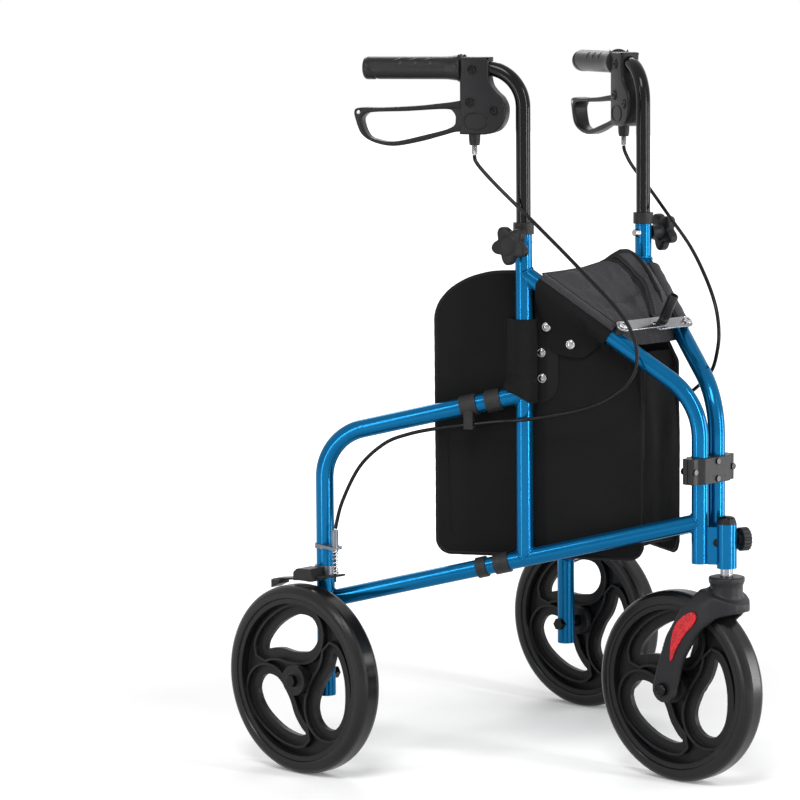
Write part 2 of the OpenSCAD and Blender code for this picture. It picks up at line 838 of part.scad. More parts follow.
module grip_shape() {
    bore_r = handle_d / 2 + seat_gap;
    grip_r = grip_d / 2;
    front_edge = [
        [bore_r, grip_length - grip_end_t], [bore_r, 0], [grip_flange_d / 2, 0],
        [grip_flange_d / 2, grip_flange_t], [1.1 * grip_r, grip_flange_t], [1.02 * grip_r, grip_neck / 2],
        [grip_r, grip_neck]
    ];
    rear_arc = corner_arc([grip_r, grip_neck], [grip_r, grip_length], [0, grip_length], grip_r / 3, 5);
    translate([grip_front_u, 0, grip_axis_z])
        rotate([0, 90, 0])
            rotate_extrude()
                polygon(concat(front_edge, rear_arc, [[0, grip_length], [0, grip_length - grip_end_t]]));
}

function housing_point(s) = [grip_front_u - seat_gap - s[0] * housing_w, housing_top_z - s[1] * housing_h];

module housing_shape() {
    difference() {
        upright_plate(housing_t)
            polygon(rounded([for (s = housing_shares) concat(housing_point(s), s[2] * housing_w)], 5));
        upright_plate(lever_slot)
            polygon([for (s = slot_shares) housing_point(s)]);
        at_lever_pivot()
            cylinder(r = lever_root_r + 2 * clear_gap, h = lever_slot, center = true);
        at_lever_pivot()
            cylinder(d = lever_pin_d + 2 * seat_gap, h = 2 * housing_t, center = true);
        handle_run(handle_d + 2 * seat_gap, 0);
        for (s = screw_shares)
            translate([housing_point(s)[0], handle_d / 2 + seat_gap, housing_point(s)[1]])
                outward()
                    cylinder(d = lever_pin_d + 2 * seat_gap, h = housing_t);
    }
}

module lever_fittings_shape() {
    at_lever_pivot() {
        cylinder(d = lever_pin_d, h = housing_t, center = true);
        for (z = [-housing_t / 2 - screw_head_h, housing_t / 2])
            translate([0, 0, z])
                cylinder(d = screw_head_d, h = screw_head_h);
    }
    for (s = screw_shares)
        translate([housing_point(s)[0], housing_t / 2, housing_point(s)[1]])
            outward() {
                translate([0, 0, -screw_head_h])
                    cylinder(d = lever_pin_d, h = screw_head_h);
                cylinder(d = screw_head_d, h = screw_head_h);
            }
    translate([boot_u, 0, housing_bottom_z - boot_h])
        cylinder(d1 = 0.85 * boot_d, d2 = boot_d, h = boot_h);
    translate([boot_u, 0, housing_bottom_z - boot_h - adjuster_h])
        cylinder(d = adjuster_d, h = adjuster_h);
}

function lever_point(s) = [grip_front_u + s[0] * lever_loop, lever_top_z - s[1] * lever_h];

module lever_shape() {
    root_edge = [
        lever_pivot + [0, lever_root_r], lever_point([0.05, 0.05]), lever_point([0.05, 0.67]),
        lever_pivot - [0, lever_root_r]
    ];
    flare_edge = [for (s = flare_shares) [lever_point(s)[0], s[2] * lever_t / 2]];
    flare_other = [for (k = [len(flare_edge) - 1:-1:0]) [flare_edge[k][0], -flare_edge[k][1]]];
    difference() {
        union() {
            intersection() {
                upright_plate(2 * lever_flare * lever_t)
                    polygon(closed_curve([for (s = lever_shares) lever_point(s)], 4));
                translate([0, 0, lever_top_z - 2 * lever_h])
                    linear_extrude(height = 3 * lever_h)
                        polygon(concat(flare_edge, flare_other));
            }
            upright_plate(lever_t)
                polygon(root_edge);
            at_lever_pivot()
                cylinder(r = lever_root_r, h = lever_t, center = true);
        }
        upright_plate(3 * lever_flare * lever_t)
            polygon(closed_curve([for (s = lever_gap_shares) lever_point(s)], 4));
        at_lever_pivot()
            cylinder(d = lever_pin_d + 2 * pin_gap, h = 2 * lever_t, center = true);
    }
}

module cable_shape(route) {
    tube_along(open_curve(route, cable_steps), cable_d / 2, cable_sides, [0, 1, 0]);
}

// Rear brakes
module bracket_shape() {
    tab_edge = [
        [0, rear_tube_d / 2 + bracket_t / 4], [0, -rear_tube_d / 4],
        [spring_x - bracket_t, spring_y - spring_d], [spring_x - bracket_t, spring_y + spring_d]
    ];
    cheek = [rear_tube_d / 2, arm_inner_y - clear_gap, 2 * arm_pin_d];
    difference() {
        union() {
            translate([0, 0, bracket_z - bracket_t / 2])
                cylinder(d = rear_tube_d + bracket_t, h = 1.5 * bracket_t);
            translate([0, 0, arm_pivot_z - arm_pin_d])
                cylinder(d = rear_tube_d + bracket_t, h = 2 * arm_pin_d);
            translate([-cheek[0] / 2, 0, arm_pivot_z - arm_pin_d])
                cube(cheek);
            translate([0, 0, bracket_z])
                linear_extrude(height = bracket_t)
                    polygon(tab_edge);
            translate([spring_x, spring_y, bracket_z])
                cylinder(d = spring_d, h = bracket_t + bracket_adjuster_h);
        }
        rod([0, leg_bottom_z], [0, rear_corner_z], rear_tube_d + 2 * seat_gap);
    }
    translate([0, arm_inner_y - 2 * clear_gap, arm_pivot_z])
        outward()
            cylinder(d = arm_pin_d, h = pedal_w / 2);
}

module brake_arm_shape() {
    arm_edge = [
        [-arm_front, spring_y - spring_d], [spring_x + spring_d, spring_y - spring_d],
        [-arm_w / 2, arm_inner_y], [arm_rear, arm_inner_y], [arm_rear, arm_inner_y + arm_w],
        [-arm_w, arm_inner_y + arm_w], [-arm_front, spring_y + spring_d]
    ];
    pedal_edge = [for (s = pedal_shares) [s[0] * arm_rear, s[1] * arm_w / 1.5, s[2] * arm_w]];
    shoe_low_z = axle_z + 0.7 * wheel_r;
    shoe_l = 0.7 * shoe_w;
    shoe_x = arm_rear - arm_t - shoe_l;
    wire_low_z = arm_floor_z(spring_x) - 6 * spring_wire;
    difference() {
        union() {
            translate([0, 0, arm_pivot_z - arm_drop])
                rotate([0, arm_slope, 0])
                    linear_extrude(height = arm_t)
                        polygon(arm_edge);
            translate([0, arm_inner_y + pedal_w / 2, arm_pivot_z])
                upright_plate(pedal_w)
                    polygon(rounded(pedal_edge, 4));
            translate([shoe_x, arm_inner_y + arm_w / 4, shoe_low_z])
                cube([shoe_l, shoe_w, arm_floor_z(shoe_x + shoe_l / 2) + arm_t / 2 - shoe_low_z]);
        }
        translate([0, 0, arm_pivot_z])
            outward()
                cylinder(d = arm_pin_d + 2 * pin_gap, h = arm_inner_y + pedal_w / 2);
        translate([0, 0, axle_z])
            outward()
                cylinder(r = wheel_r + shoe_gap, h = 3 * wheel_offset, $fn = 96);
    }
    translate([spring_x, spring_y, wire_low_z])
        cylinder(d = 2 * spring_wire, h = spring_top_z - 3 * spring_wire - wire_low_z);
}

module brake_spring_shape() {
    last = spring_turns * spring_rings;
    coil = [
        for (k = [0:last])
            [
                spring_x + spring_r * cos(360 * k / spring_rings),
                spring_y + spring_r * sin(360 * k / spring_rings),
                spring_bottom_z + spring_wire / 2 + spring_rise * k / last
            ]
    ];
    lead_in = coil[0] - [0, spring_wire, 0];
    lead_out = coil[last] + [0, spring_wire, 0];
    tube_along(concat([lead_in], coil, [lead_out]), spring_wire / 2, spring_sides, [0, 0, 1]);
}

// Wheels: drawn round z, turned to stand with z outward
hole_points = [for (s = hole_shares) s[1] * wheel_r * [cos(s[0] + hole_turn), sin(s[0] + hole_turn)]];
hole_curve = closed_curve(hole_points, 3);

module wheel_holes(t, grow) {
    for (k = [0:hole_count - 1])
        rotate([0, 0, 360 * k / hole_count])
            linear_extrude(height = t, center = true)
                polygon(grown(hole_curve, grow));
}

module rim_shape() {
    difference() {
        union() {
            difference() {
                cylinder(r = tyre_in_r - seat_gap, h = rim_w, center = true, $fn = 96);
                cylinder(r = rim_in_r, h = rim_w + overrun, center = true, $fn = 96);
            }
            cylinder(r = rim_in_r + rim_t / 2, h = web_t, center = true, $fn = 96);
            cylinder(d = hub_d, h = hub_w, center = true);
            intersection() {
                difference() {
                    wheel_holes(rib_t, land_w + rib_w);
                    wheel_holes(rib_t + overrun, land_w);
                }
                cylinder(r = rim_in_r + rim_t / 2, h = hub_w, center = true, $fn = 96);
            }
            intersection() {
                wheel_holes(land_t, land_w);
                cylinder(r = rim_in_r + rim_t / 2, h = hub_w, center = true, $fn = 96);
            }
        }
        wheel_holes(hub_w, 0);
        cylinder(d = 0.6 * bearing_d, h = hub_w + overrun, center = true);
        for (side = [-1, 1])
            translate([0, 0, side * (hub_w - bearing_w + overrun) / 2])
                cylinder(d = bearing_d + 2 * seat_gap, h = bearing_w + overrun, center = true);
    }
}

module tyre_shape() {
    rotate_extrude($fn = 96)
        polygon(rounded([
            [tyre_in_r, -tyre_w / 2, tyre_round / 4],
            [wheel_r, -tyre_w / 2, tyre_round],
            [wheel_r, tyre_w / 2, tyre_round],
            [tyre_in_r, tyre_w / 2, tyre_round / 4]
        ], 4));
}

module bearings_shape() {
    for (side = [-1, 1])
        translate([0, 0, side * (hub_w - bearing_w) / 2])
            difference() {
                cylinder(d = bearing_d, h = bearing_w, center = true);
                cylinder(d = axle_d + 2 * pin_gap, h = bearing_w + overrun, center = true);
            }
}

module axle_shape() {
    inner_end = rear_tube_d / 2 + axle_nut_h;
    outer_end = wheel_offset + hub_w / 2 + clear_gap;
    at_leg()
        translate([0, 0, axle_z])
            outward() {
                translate([0, 0, -inner_end])
                    cylinder(d = axle_d, h = inner_end + outer_end + axle_nut_h);
                translate([0, 0, outer_end])
                    cylinder(d = axle_nut_d, h = axle_nut_h, $fn = 6);
            }
    difference() {
        at_leg()
            translate([0, 0, axle_z])
                outward() {
                    translate([0, 0, -inner_end])
                        cylinder(d = axle_nut_d, h = 2 * axle_nut_h, $fn = 6);
                    cylinder(d = axle_nut_d, h = wheel_offset - hub_w / 2 - clear_gap);
                }
        leg_run(rear_tube_d);
    }
}

// Bag sides
module loop_section(reach) {
    circle(r = sleeve_r);
    translate([-sleeve_r, reach])
        square([2 * sleeve_r, -reach]);
}

module bag_side_shape() {
    side_edge = [
        [bag_rear_u, bag_bottom_z, bag_round],
        [bag_rear_u, bag_top_z, bag_corner_r],
        [upright_u + sleeve_r, bag_top_z, bag_round / 2],
        [bag_front_u, bar_z(bag_front_u) - sleeve_r, bag_round / 2],
        [bag_front_u, bag_bottom_z, bag_round]
    ];
    flap_edge = [
        [bar_sleeve_u[0] + sleeve_r, bar_z(bar_sleeve_u[0] + sleeve_r)],
        [bar_sleeve_u[1] - sleeve_r, bar_z(bar_sleeve_u[1] - sleeve_r)],
        [bar_sleeve_u[1] - sleeve_r / 2, bar_z(bar_sleeve_u[1]) - flap_h],
        [bar_sleeve_u[0] + 2 * sleeve_r, bar_z(bar_sleeve_u[0]) - flap_h / 3]
    ];
    loop_reach = bag_out_v - bag_t / 2;
    translate([0, loop_reach, 0])
        upright_plate(bag_t)
            polygon(rounded(side_edge, 6));
    difference() {
        union() {
            on_bar(bar_sleeve_u[0])
                linear_extrude(height = (bar_sleeve_u[1] - bar_sleeve_u[0]) / cos(front_slope))
                    loop_section(loop_reach);
            translate([upright_u, 0, upright_sleeve_z[0]])
                linear_extrude(height = upright_sleeve_z[1] - upright_sleeve_z[0])
                    loop_section(loop_reach);
            translate([0, sleeve_r - sleeve_t / 2, 0])
                upright_plate(sleeve_t)
                    polygon(flap_edge);
        }
        front_run(frame_tube_d + 2 * seat_gap, 0);
        upright_run(frame_tube_d + 2 * seat_gap);
    }
}

function bag_corner(u, side) =
    let (v = bag_in_v - clear_gap)
    [
        post_x - u * cos(splay) + v * sin(splay),
        side * (post_y + u * sin(splay) + v * cos(splay))
    ];
function lid_corner(u, side) =
    let (v = bag_in_v - clear_gap)
    [-u * bar_stretch, side * (post_y + u * sin(splay) + v / cos(splay))];

module bag_slab(from_u, to_u, h) {
    translate([0, 0, bag_bottom_z])
        linear_extrude(height = h)
            polygon([
                bag_corner(from_u, -1), bag_corner(to_u, -1),
                bag_corner(to_u, 1), bag_corner(from_u, 1)
            ]);
}

// Hinge bracket
module hinge_half(side) {
    lug_x = side * 0.6 * hinge_depth;
    deep_x = side * hinge_depth;
    edge_r = 0.2 * hinge_depth;
    edge = [
        [side * clear_gap, -hinge_reach, 0],
        [lug_x, -hinge_reach, edge_r],
        [lug_x, -0.78 * hinge_reach, edge_r],
        [deep_x, -0.6 * hinge_reach, edge_r],
        [deep_x, 0.6 * hinge_reach, edge_r],
        [lug_x, 0.78 * hinge_reach, edge_r],
        [lug_x, hinge_reach, edge_r],
        [side * clear_gap, hinge_reach, 0]
    ];
    translate([post_x, 0, hinge_z])
        difference() {
            linear_extrude(height = hinge_h)
                polygon(rounded(edge, 4));
            for (y = [-post_y, post_y])
                translate([0, y, -overrun])
                    cylinder(d = frame_tube_d + 2 * pin_gap, h = hinge_h + 2 * overrun);
            hinge_middle()
                cylinder(d = lever_pin_d + 2 * seat_gap, h = 4 * hinge_depth, center = true);
            hinge_ends()
                cylinder(d = lever_pin_d + 2 * seat_gap, h = 4 * hinge_depth, center = true);
        }
}

module hinge_middle() {
    for (share = [0.16, 0.84])
        translate([0, 0, share * hinge_h])
            rotate([0, 90, 0])
                children();
}

module hinge_ends() {
    for (share = [-0.9, 0.9])
        translate([0, share * hinge_reach, hinge_h / 2])
            rotate([0, 90, 0])
                children();
}

module hinge_screw(reach) {
    cylinder(d = lever_pin_d, h = 2 * reach, center = true);
    for (z = [-reach - screw_head_h, reach])
        translate([0, 0, z])
            cylinder(d = screw_head_d, h = screw_head_h);
}

// Nodes: middle
module hinge_front() {
    color(dark)
        hinge_half(1);
}

module hinge_rear() {
    color(dark)
        hinge_half(-1);
}

module hinge_screws() {
    color(silver)
        translate([post_x, 0, hinge_z]) {
            hinge_middle()
                hinge_screw(hinge_depth);
            hinge_ends()
                hinge_screw(0.6 * hinge_depth);
        }
}

module bag_body() {
    front_u = bag_front_u + bag_seam;
    rear_u = bag_rear_u - bag_seam;
    color(cloth) {
        bag_slab(front_u, rear_u, bag_t);
        bag_slab(front_u, front_u + bag_t, bar_z(bag_front_u) - 3 * sleeve_r - bag_bottom_z);
        bag_slab(rear_u - bag_t, rear_u, bag_top_z - bag_bottom_z - bag_corner_r);
    }
}

module bag_lid() {
    front_u = bar_sleeve_u[0] + bag_seam / 2;
    rear_u = upright_u - bag_seam / 2;
    color(grey)
        bar_plane()
            linear_extrude(height = bag_t)
                polygon([
                    lid_corner(front_u, -1), lid_corner(rear_u, -1),
                    lid_corner(rear_u, 1), lid_corner(front_u, 1)
                ]);
}

module right_lock_link() {
    color(silver)
        bar_plane()
            translate([link_pivot_x, -link_pivot_y, link_floor + link_step]) {
                link_plate(link_long + lock_handle_d / 2);
                translate([0, link_long - lock_handle_d / 4, 0])
                    cylinder(d = 0.8 * link_pin_d, h = 1.5 * link_t);
                translate([0, link_long + lock_handle_d / 2, 0])
                    cylinder(d = lock_handle_d, h = lock_handle_len);
            }
}

module left_lock_link() {
    color(silver)
        bar_plane()
            translate([link_pivot_x, link_pivot_y, link_floor])
                rotate([0, 0, 180])
                    link_plate(link_short);
}

// Nodes: head and fork
module head_tube() {
    gusset = [norm([head_x, post_y]), head_d / 3, head_len - head_d / 3];
    color(paint)
        difference() {
            translate([post_x + head_x, 0, head_bottom_z]) {
                cylinder(d = head_d, h = head_len);
                rotate([0, 0, atan2(-post_y, -head_x)])
                    translate([0, -gusset[1] / 2, gusset[1] / 2])
                        cube(gusset);
            }
            translate([post_x + head_x, 0, head_bottom_z - overrun])
                cylinder(d = head_bore, h = head_len + 2 * overrun);
            translate([post_x, -post_y, head_bottom_z - overrun])
                cylinder(d = frame_tube_d, h = head_len + 2 * overrun);
            swivel_knob_place()
                cylinder(d = lever_pin_d + 2 * pin_gap, h = head_d);
        }
}

module swivel_knob() {
    stud_tip = (stem_d + head_bore) / 4;
    knob_foot = head_d / 2 + 3 * clear_gap;
    color(dark)
        swivel_knob_place() {
            translate([0, 0, stud_tip])
                cylinder(d = lever_pin_d, h = knob_foot + swivel_knob_h - stud_tip);
            translate([0, 0, knob_foot])
                cylinder(d = swivel_knob_d / 2, h = swivel_knob_h / 2);
            translate([0, 0, knob_foot + swivel_knob_h / 3])
                linear_extrude(height = swivel_knob_h)
                    polygon([
                        for (a = [0:4:356])
                            swivel_knob_d / 2 * (0.96 + 0.04 * cos(18 * a)) * [cos(a), sin(a)]
                    ]);
        }
}

module head_bushes() {
    bush_h = 0.7 * head_bore;
    color(dark)
        translate([post_x + head_x, 0, head_bottom_z])
            difference() {
                union() {
                    cylinder(d = head_bore - 2 * seat_gap, h = bush_h);
                    translate([0, 0, head_len - bush_h])
                        cylinder(d = head_bore - 2 * seat_gap, h = bush_h + overrun);
                    translate([0, 0, head_len])
                        cylinder(d1 = head_d, d2 = 0.85 * head_d, h = head_d / 4);
                }
                translate([0, 0, -overrun])
                    cylinder(d = stem_d + 2 * pin_gap, h = head_len + overrun);
            }
}

module fork() {
    side_edge = [for (s = fork_shares) s * fork_rise];
    half_edge = [for (s = shoulder_shares) [s[0] * fork_w, s[1] * fork_rise]];
    other_edge = [for (k = [len(half_edge) - 1:-1:0]) [-half_edge[k][0], half_edge[k][1]]];
    plan_edge = [for (s = plan_shares) [s[0] * fork_rise, -s[1] * fork_w]];
    plan_other = [for (k = [len(plan_edge) - 1:-1:0]) [plan_edge[k][0], -plan_edge[k][1]]];
    color(dark)
        difference() {
            union() {
                intersection() {
                    translate([front_axle_x, 0, axle_z])
                        upright_plate(fork_w)
                            polygon(rounded(side_edge, 5));
                    translate([front_axle_x - wheel_r, 0, axle_z])
                        rotate([90, 0, 90])
                            linear_extrude(height = 2 * wheel_r)
                                polygon(concat(half_edge, other_edge));
                    translate([front_axle_x, 0, axle_z - fork_rise])
                        linear_extrude(height = 3 * fork_rise)
                            polygon(concat(plan_edge, plan_other));
                }
                for (side = [-1, 1])
                    translate([front_axle_x, side * (fork_w + fork_gap) / 4, axle_z])
                        outward()
                            cylinder(r = 0.13 * fork_rise, h = (fork_w - fork_gap) / 2, center = true);
                translate([post_x + head_x, 0, axle_z + 0.82 * fork_rise])
                    cylinder(d = neck_d, h = 0.25 * fork_rise);
                translate([post_x + head_x, 0, axle_z + 1.05 * fork_rise])
                    cylinder(d = neck_ring_d, h = 0.055 * fork_rise);
            }
            translate([front_axle_x, 0, axle_z])
                outward()
                    cylinder(r = wheel_r + crown_gap, h = fork_gap, center = true, $fn = 96);
            translate([front_axle_x, 0, axle_z])
                outward()
                    cylinder(d = axle_d + 2 * seat_gap, h = 2 * fork_w, center = true);
            translate([post_x + head_x, 0, axle_z + 0.85 * fork_rise])
                cylinder(d = stem_d + 2 * seat_gap, h = fork_rise);
        }
}

module fork_bolts() {
    stem_low_z = axle_z + 0.85 * fork_rise;
    collar_low_z = axle_z + 1.105 * fork_rise;
    stem_top_z = head_bottom_z + head_len - head_d / 4;
    color(silver) {
        translate([post_x + head_x, 0, stem_low_z])
            cylinder(d = stem_d, h = stem_top_z - stem_low_z);
        translate([post_x + head_x, 0, collar_low_z])
            cylinder(d = 1.4 * stem_d, h = head_bottom_z - clear_gap - collar_low_z);
        translate([front_axle_x, 0, axle_z])
            outward() {
                cylinder(d = axle_d, h = fork_w + axle_nut_h, center = true);
                for (side = [-1, 1])
                    translate([0, 0, side * (fork_w + axle_nut_h) / 2])
                        cylinder(d = axle_nut_d, h = axle_nut_h, center = true, $fn = 6);
                for (turn = [0, 180])
                    rotate([turn, 0, 0])
                        translate([0, 0, hub_w / 2 + clear_gap])
                            cylinder(d = axle_nut_d, h = (fork_gap - hub_w) / 2 - clear_gap);
            }
    }
}

module reflectors() {
    color(red)
        for (side = [-1, 1])
            translate([front_axle_x, side * (fork_w + reflector_t) / 2, axle_z])
                upright_plate(reflector_t)
                    polygon(closed_curve([for (s = reflector_shares) s * fork_rise], 3));
}

module front_rim() {
    color(grey)
        front_wheel_place()
            rim_shape();
}

module front_tyre() {
    color(dark)
        front_wheel_place()
            tyre_shape();
}

module front_bearings() {
    color(silver)
        front_wheel_place()
            bearings_shape();
}

// Nodes: right side
module right_upright() {
    color(paint)
        right_side()
            upright_shape();
}

module right_front_tube() {
    color(paint)
        right_side()
            front_tube_shape();
}

module right_rear_tube() {
    color(paint)
        right_side()
            rear_tube_shape();
}

module right_lower_bar() {
    color(paint)
        right_side()
            lower_bar_shape();
}

module right_collar() {
    color(dark)
        right_side()
            collar_shape();
}

module right_clamp_bolt() {
    color(silver)
        right_side()
            clamp_bolt_shape();
}

module right_clamp_knob() {
    color(dark)
        right_side()
            clamp_knob_shape();
}

module right_tube_clips() {
    color(dark) {
        right_side()
            tube_clips_shape();
        link_screw(-1, link_step);
    }
}

module right_brake_bracket() {
    color(silver)
        right_side()
            at_leg()
                bracket_shape();
}

module right_brake_spring() {
    color(silver)
        right_side()
            at_leg()
                brake_spring_shape();
}

module right_brake_arm() {
    color(dark)
        right_side()
            at_leg()
                brake_arm_shape();
}

module right_brake_cable() {
    color(dark)
        right_side()
            cable_shape(right_cable_route);
}

module right_axle() {
    color(silver)
        right_side()
            axle_shape();
}

module right_rim() {
    color(grey)
        right_side()
            rear_wheel_place()
                rim_shape();
}

module right_tyre() {
    color(dark)
        right_side()
            rear_wheel_place()
                tyre_shape();
}

module right_bearings() {
    color(silver)
        right_side()
            rear_wheel_place()
                bearings_shape();
}

module right_handle_tube() {
    color(dark)
        right_side()
            handle_tube_shape();
}

module right_grip() {
    color(dark)
        right_side()
            grip_shape();
}

module right_brake_housing() {
    color(dark)
        right_side()
            housing_shape();
}

module right_lever_fittings() {
    color(silver)
        right_side()
            lever_fittings_shape();
}

module right_lever() {
    color(dark)
        right_side()
            lever_shape();
}

module bag_side_right() {
    color(cloth)
        right_side()
            bag_side_shape();
}

// Nodes: left side
module left_upright() {
    color(paint)
        left_side()
            upright_shape();
}

module left_front_tube() {
    color(paint)
        left_side()
            front_tube_shape();
}

module left_rear_tube() {
    color(paint)
        left_side()
            rear_tube_shape();
}

module left_lower_bar() {
    color(paint)
        left_side()
            lower_bar_shape();
}

module left_collar() {
    color(dark)
        left_side()
            collar_shape();
}

module left_clamp_bolt() {
    color(silver)
        left_side()
            clamp_bolt_shape();
}

module left_clamp_knob() {
    color(dark)
        left_side()
            clamp_knob_shape();
}

module left_tube_clips() {
    color(dark) {
        left_side()
            tube_clips_shape();
        link_screw(1, 0);
    }
}

module left_brake_bracket() {
    color(silver)
        left_side()
            at_leg()
                bracket_shape();
}

module left_brake_spring() {
    color(silver)
        left_side()
            at_leg()
                brake_spring_shape();
}

module left_brake_arm() {
    color(dark)
        left_side()
            at_leg()
                brake_arm_shape();
}

module left_brake_cable() {
    color(dark)
        left_side()
            cable_shape(left_cable_route);
}

module left_axle() {
    color(silver)
        left_side()
            axle_shape();
}

module left_rim() {
    color(grey)
        left_side()
            rear_wheel_place()
                rim_shape();
}

module left_tyre() {
    color(dark)
        left_side()
            rear_wheel_place()
                tyre_shape();
}

module left_bearings() {
    color(silver)
        left_side()
            rear_wheel_place()
                bearings_shape();
}

module left_handle_tube() {
    color(dark)
        left_side()
            handle_tube_shape();
}

module left_grip() {
    color(dark)
        left_side()
            grip_shape();
}

module left_brake_housing() {
    color(dark)
        left_side()
            housing_shape();
}

module left_lever_fittings() {
    color(silver)
        left_side()
            lever_fittings_shape();
}

module left_lever() {
    color(dark)
        left_side()
            lever_shape();
}

module bag_side_left() {
    color(cloth)
        left_side()
            bag_side_shape();
}

hinge_front();
hinge_rear();
hinge_screws();
bag_body();
bag_lid();
right_upright();
right_front_tube();
right_rear_tube();
right_lower_bar();
right_collar();
right_clamp_bolt();
right_tube_clips();
right_brake_bracket();
right_axle();
right_brake_cable();
right_brake_spring();
bag_side_right();
head_tube();
head_bushes();
left_upright();
left_front_tube();
left_rear_tube();
left_lower_bar();
left_collar();
left_clamp_bolt();
left_tube_clips();
left_brake_bracket();
left_axle();
left_brake_cable();
left_brake_spring();
bag_side_left();
right_handle_tube();
right_grip();
right_brake_housing();
right_lever_fittings();
left_handle_tube();
left_grip();
left_brake_housing();
left_lever_fittings();
right_lever();
left_lever();
right_clamp_knob();
left_clamp_knob();
right_brake_arm();
left_brake_arm();
right_rim();
right_tyre();
right_bearings();
left_rim();
left_tyre();
left_bearings();
fork();
fork_bolts();
reflectors();
front_rim();
front_tyre();
front_bearings();
swivel_knob();
right_lock_link();
left_lock_link();
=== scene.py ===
"""Looks of the three wheel rollator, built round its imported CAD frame.

Lengths in the classes are millimetres in a side frame: u rearward from the front post, v outward from the
frame's plane and z up. SideFrame carries such points into the shared frame, in metres.
"""

from __future__ import annotations

import json
import logging
import math
from dataclasses import dataclass, field
from enum import Enum
from typing import Callable, Sequence

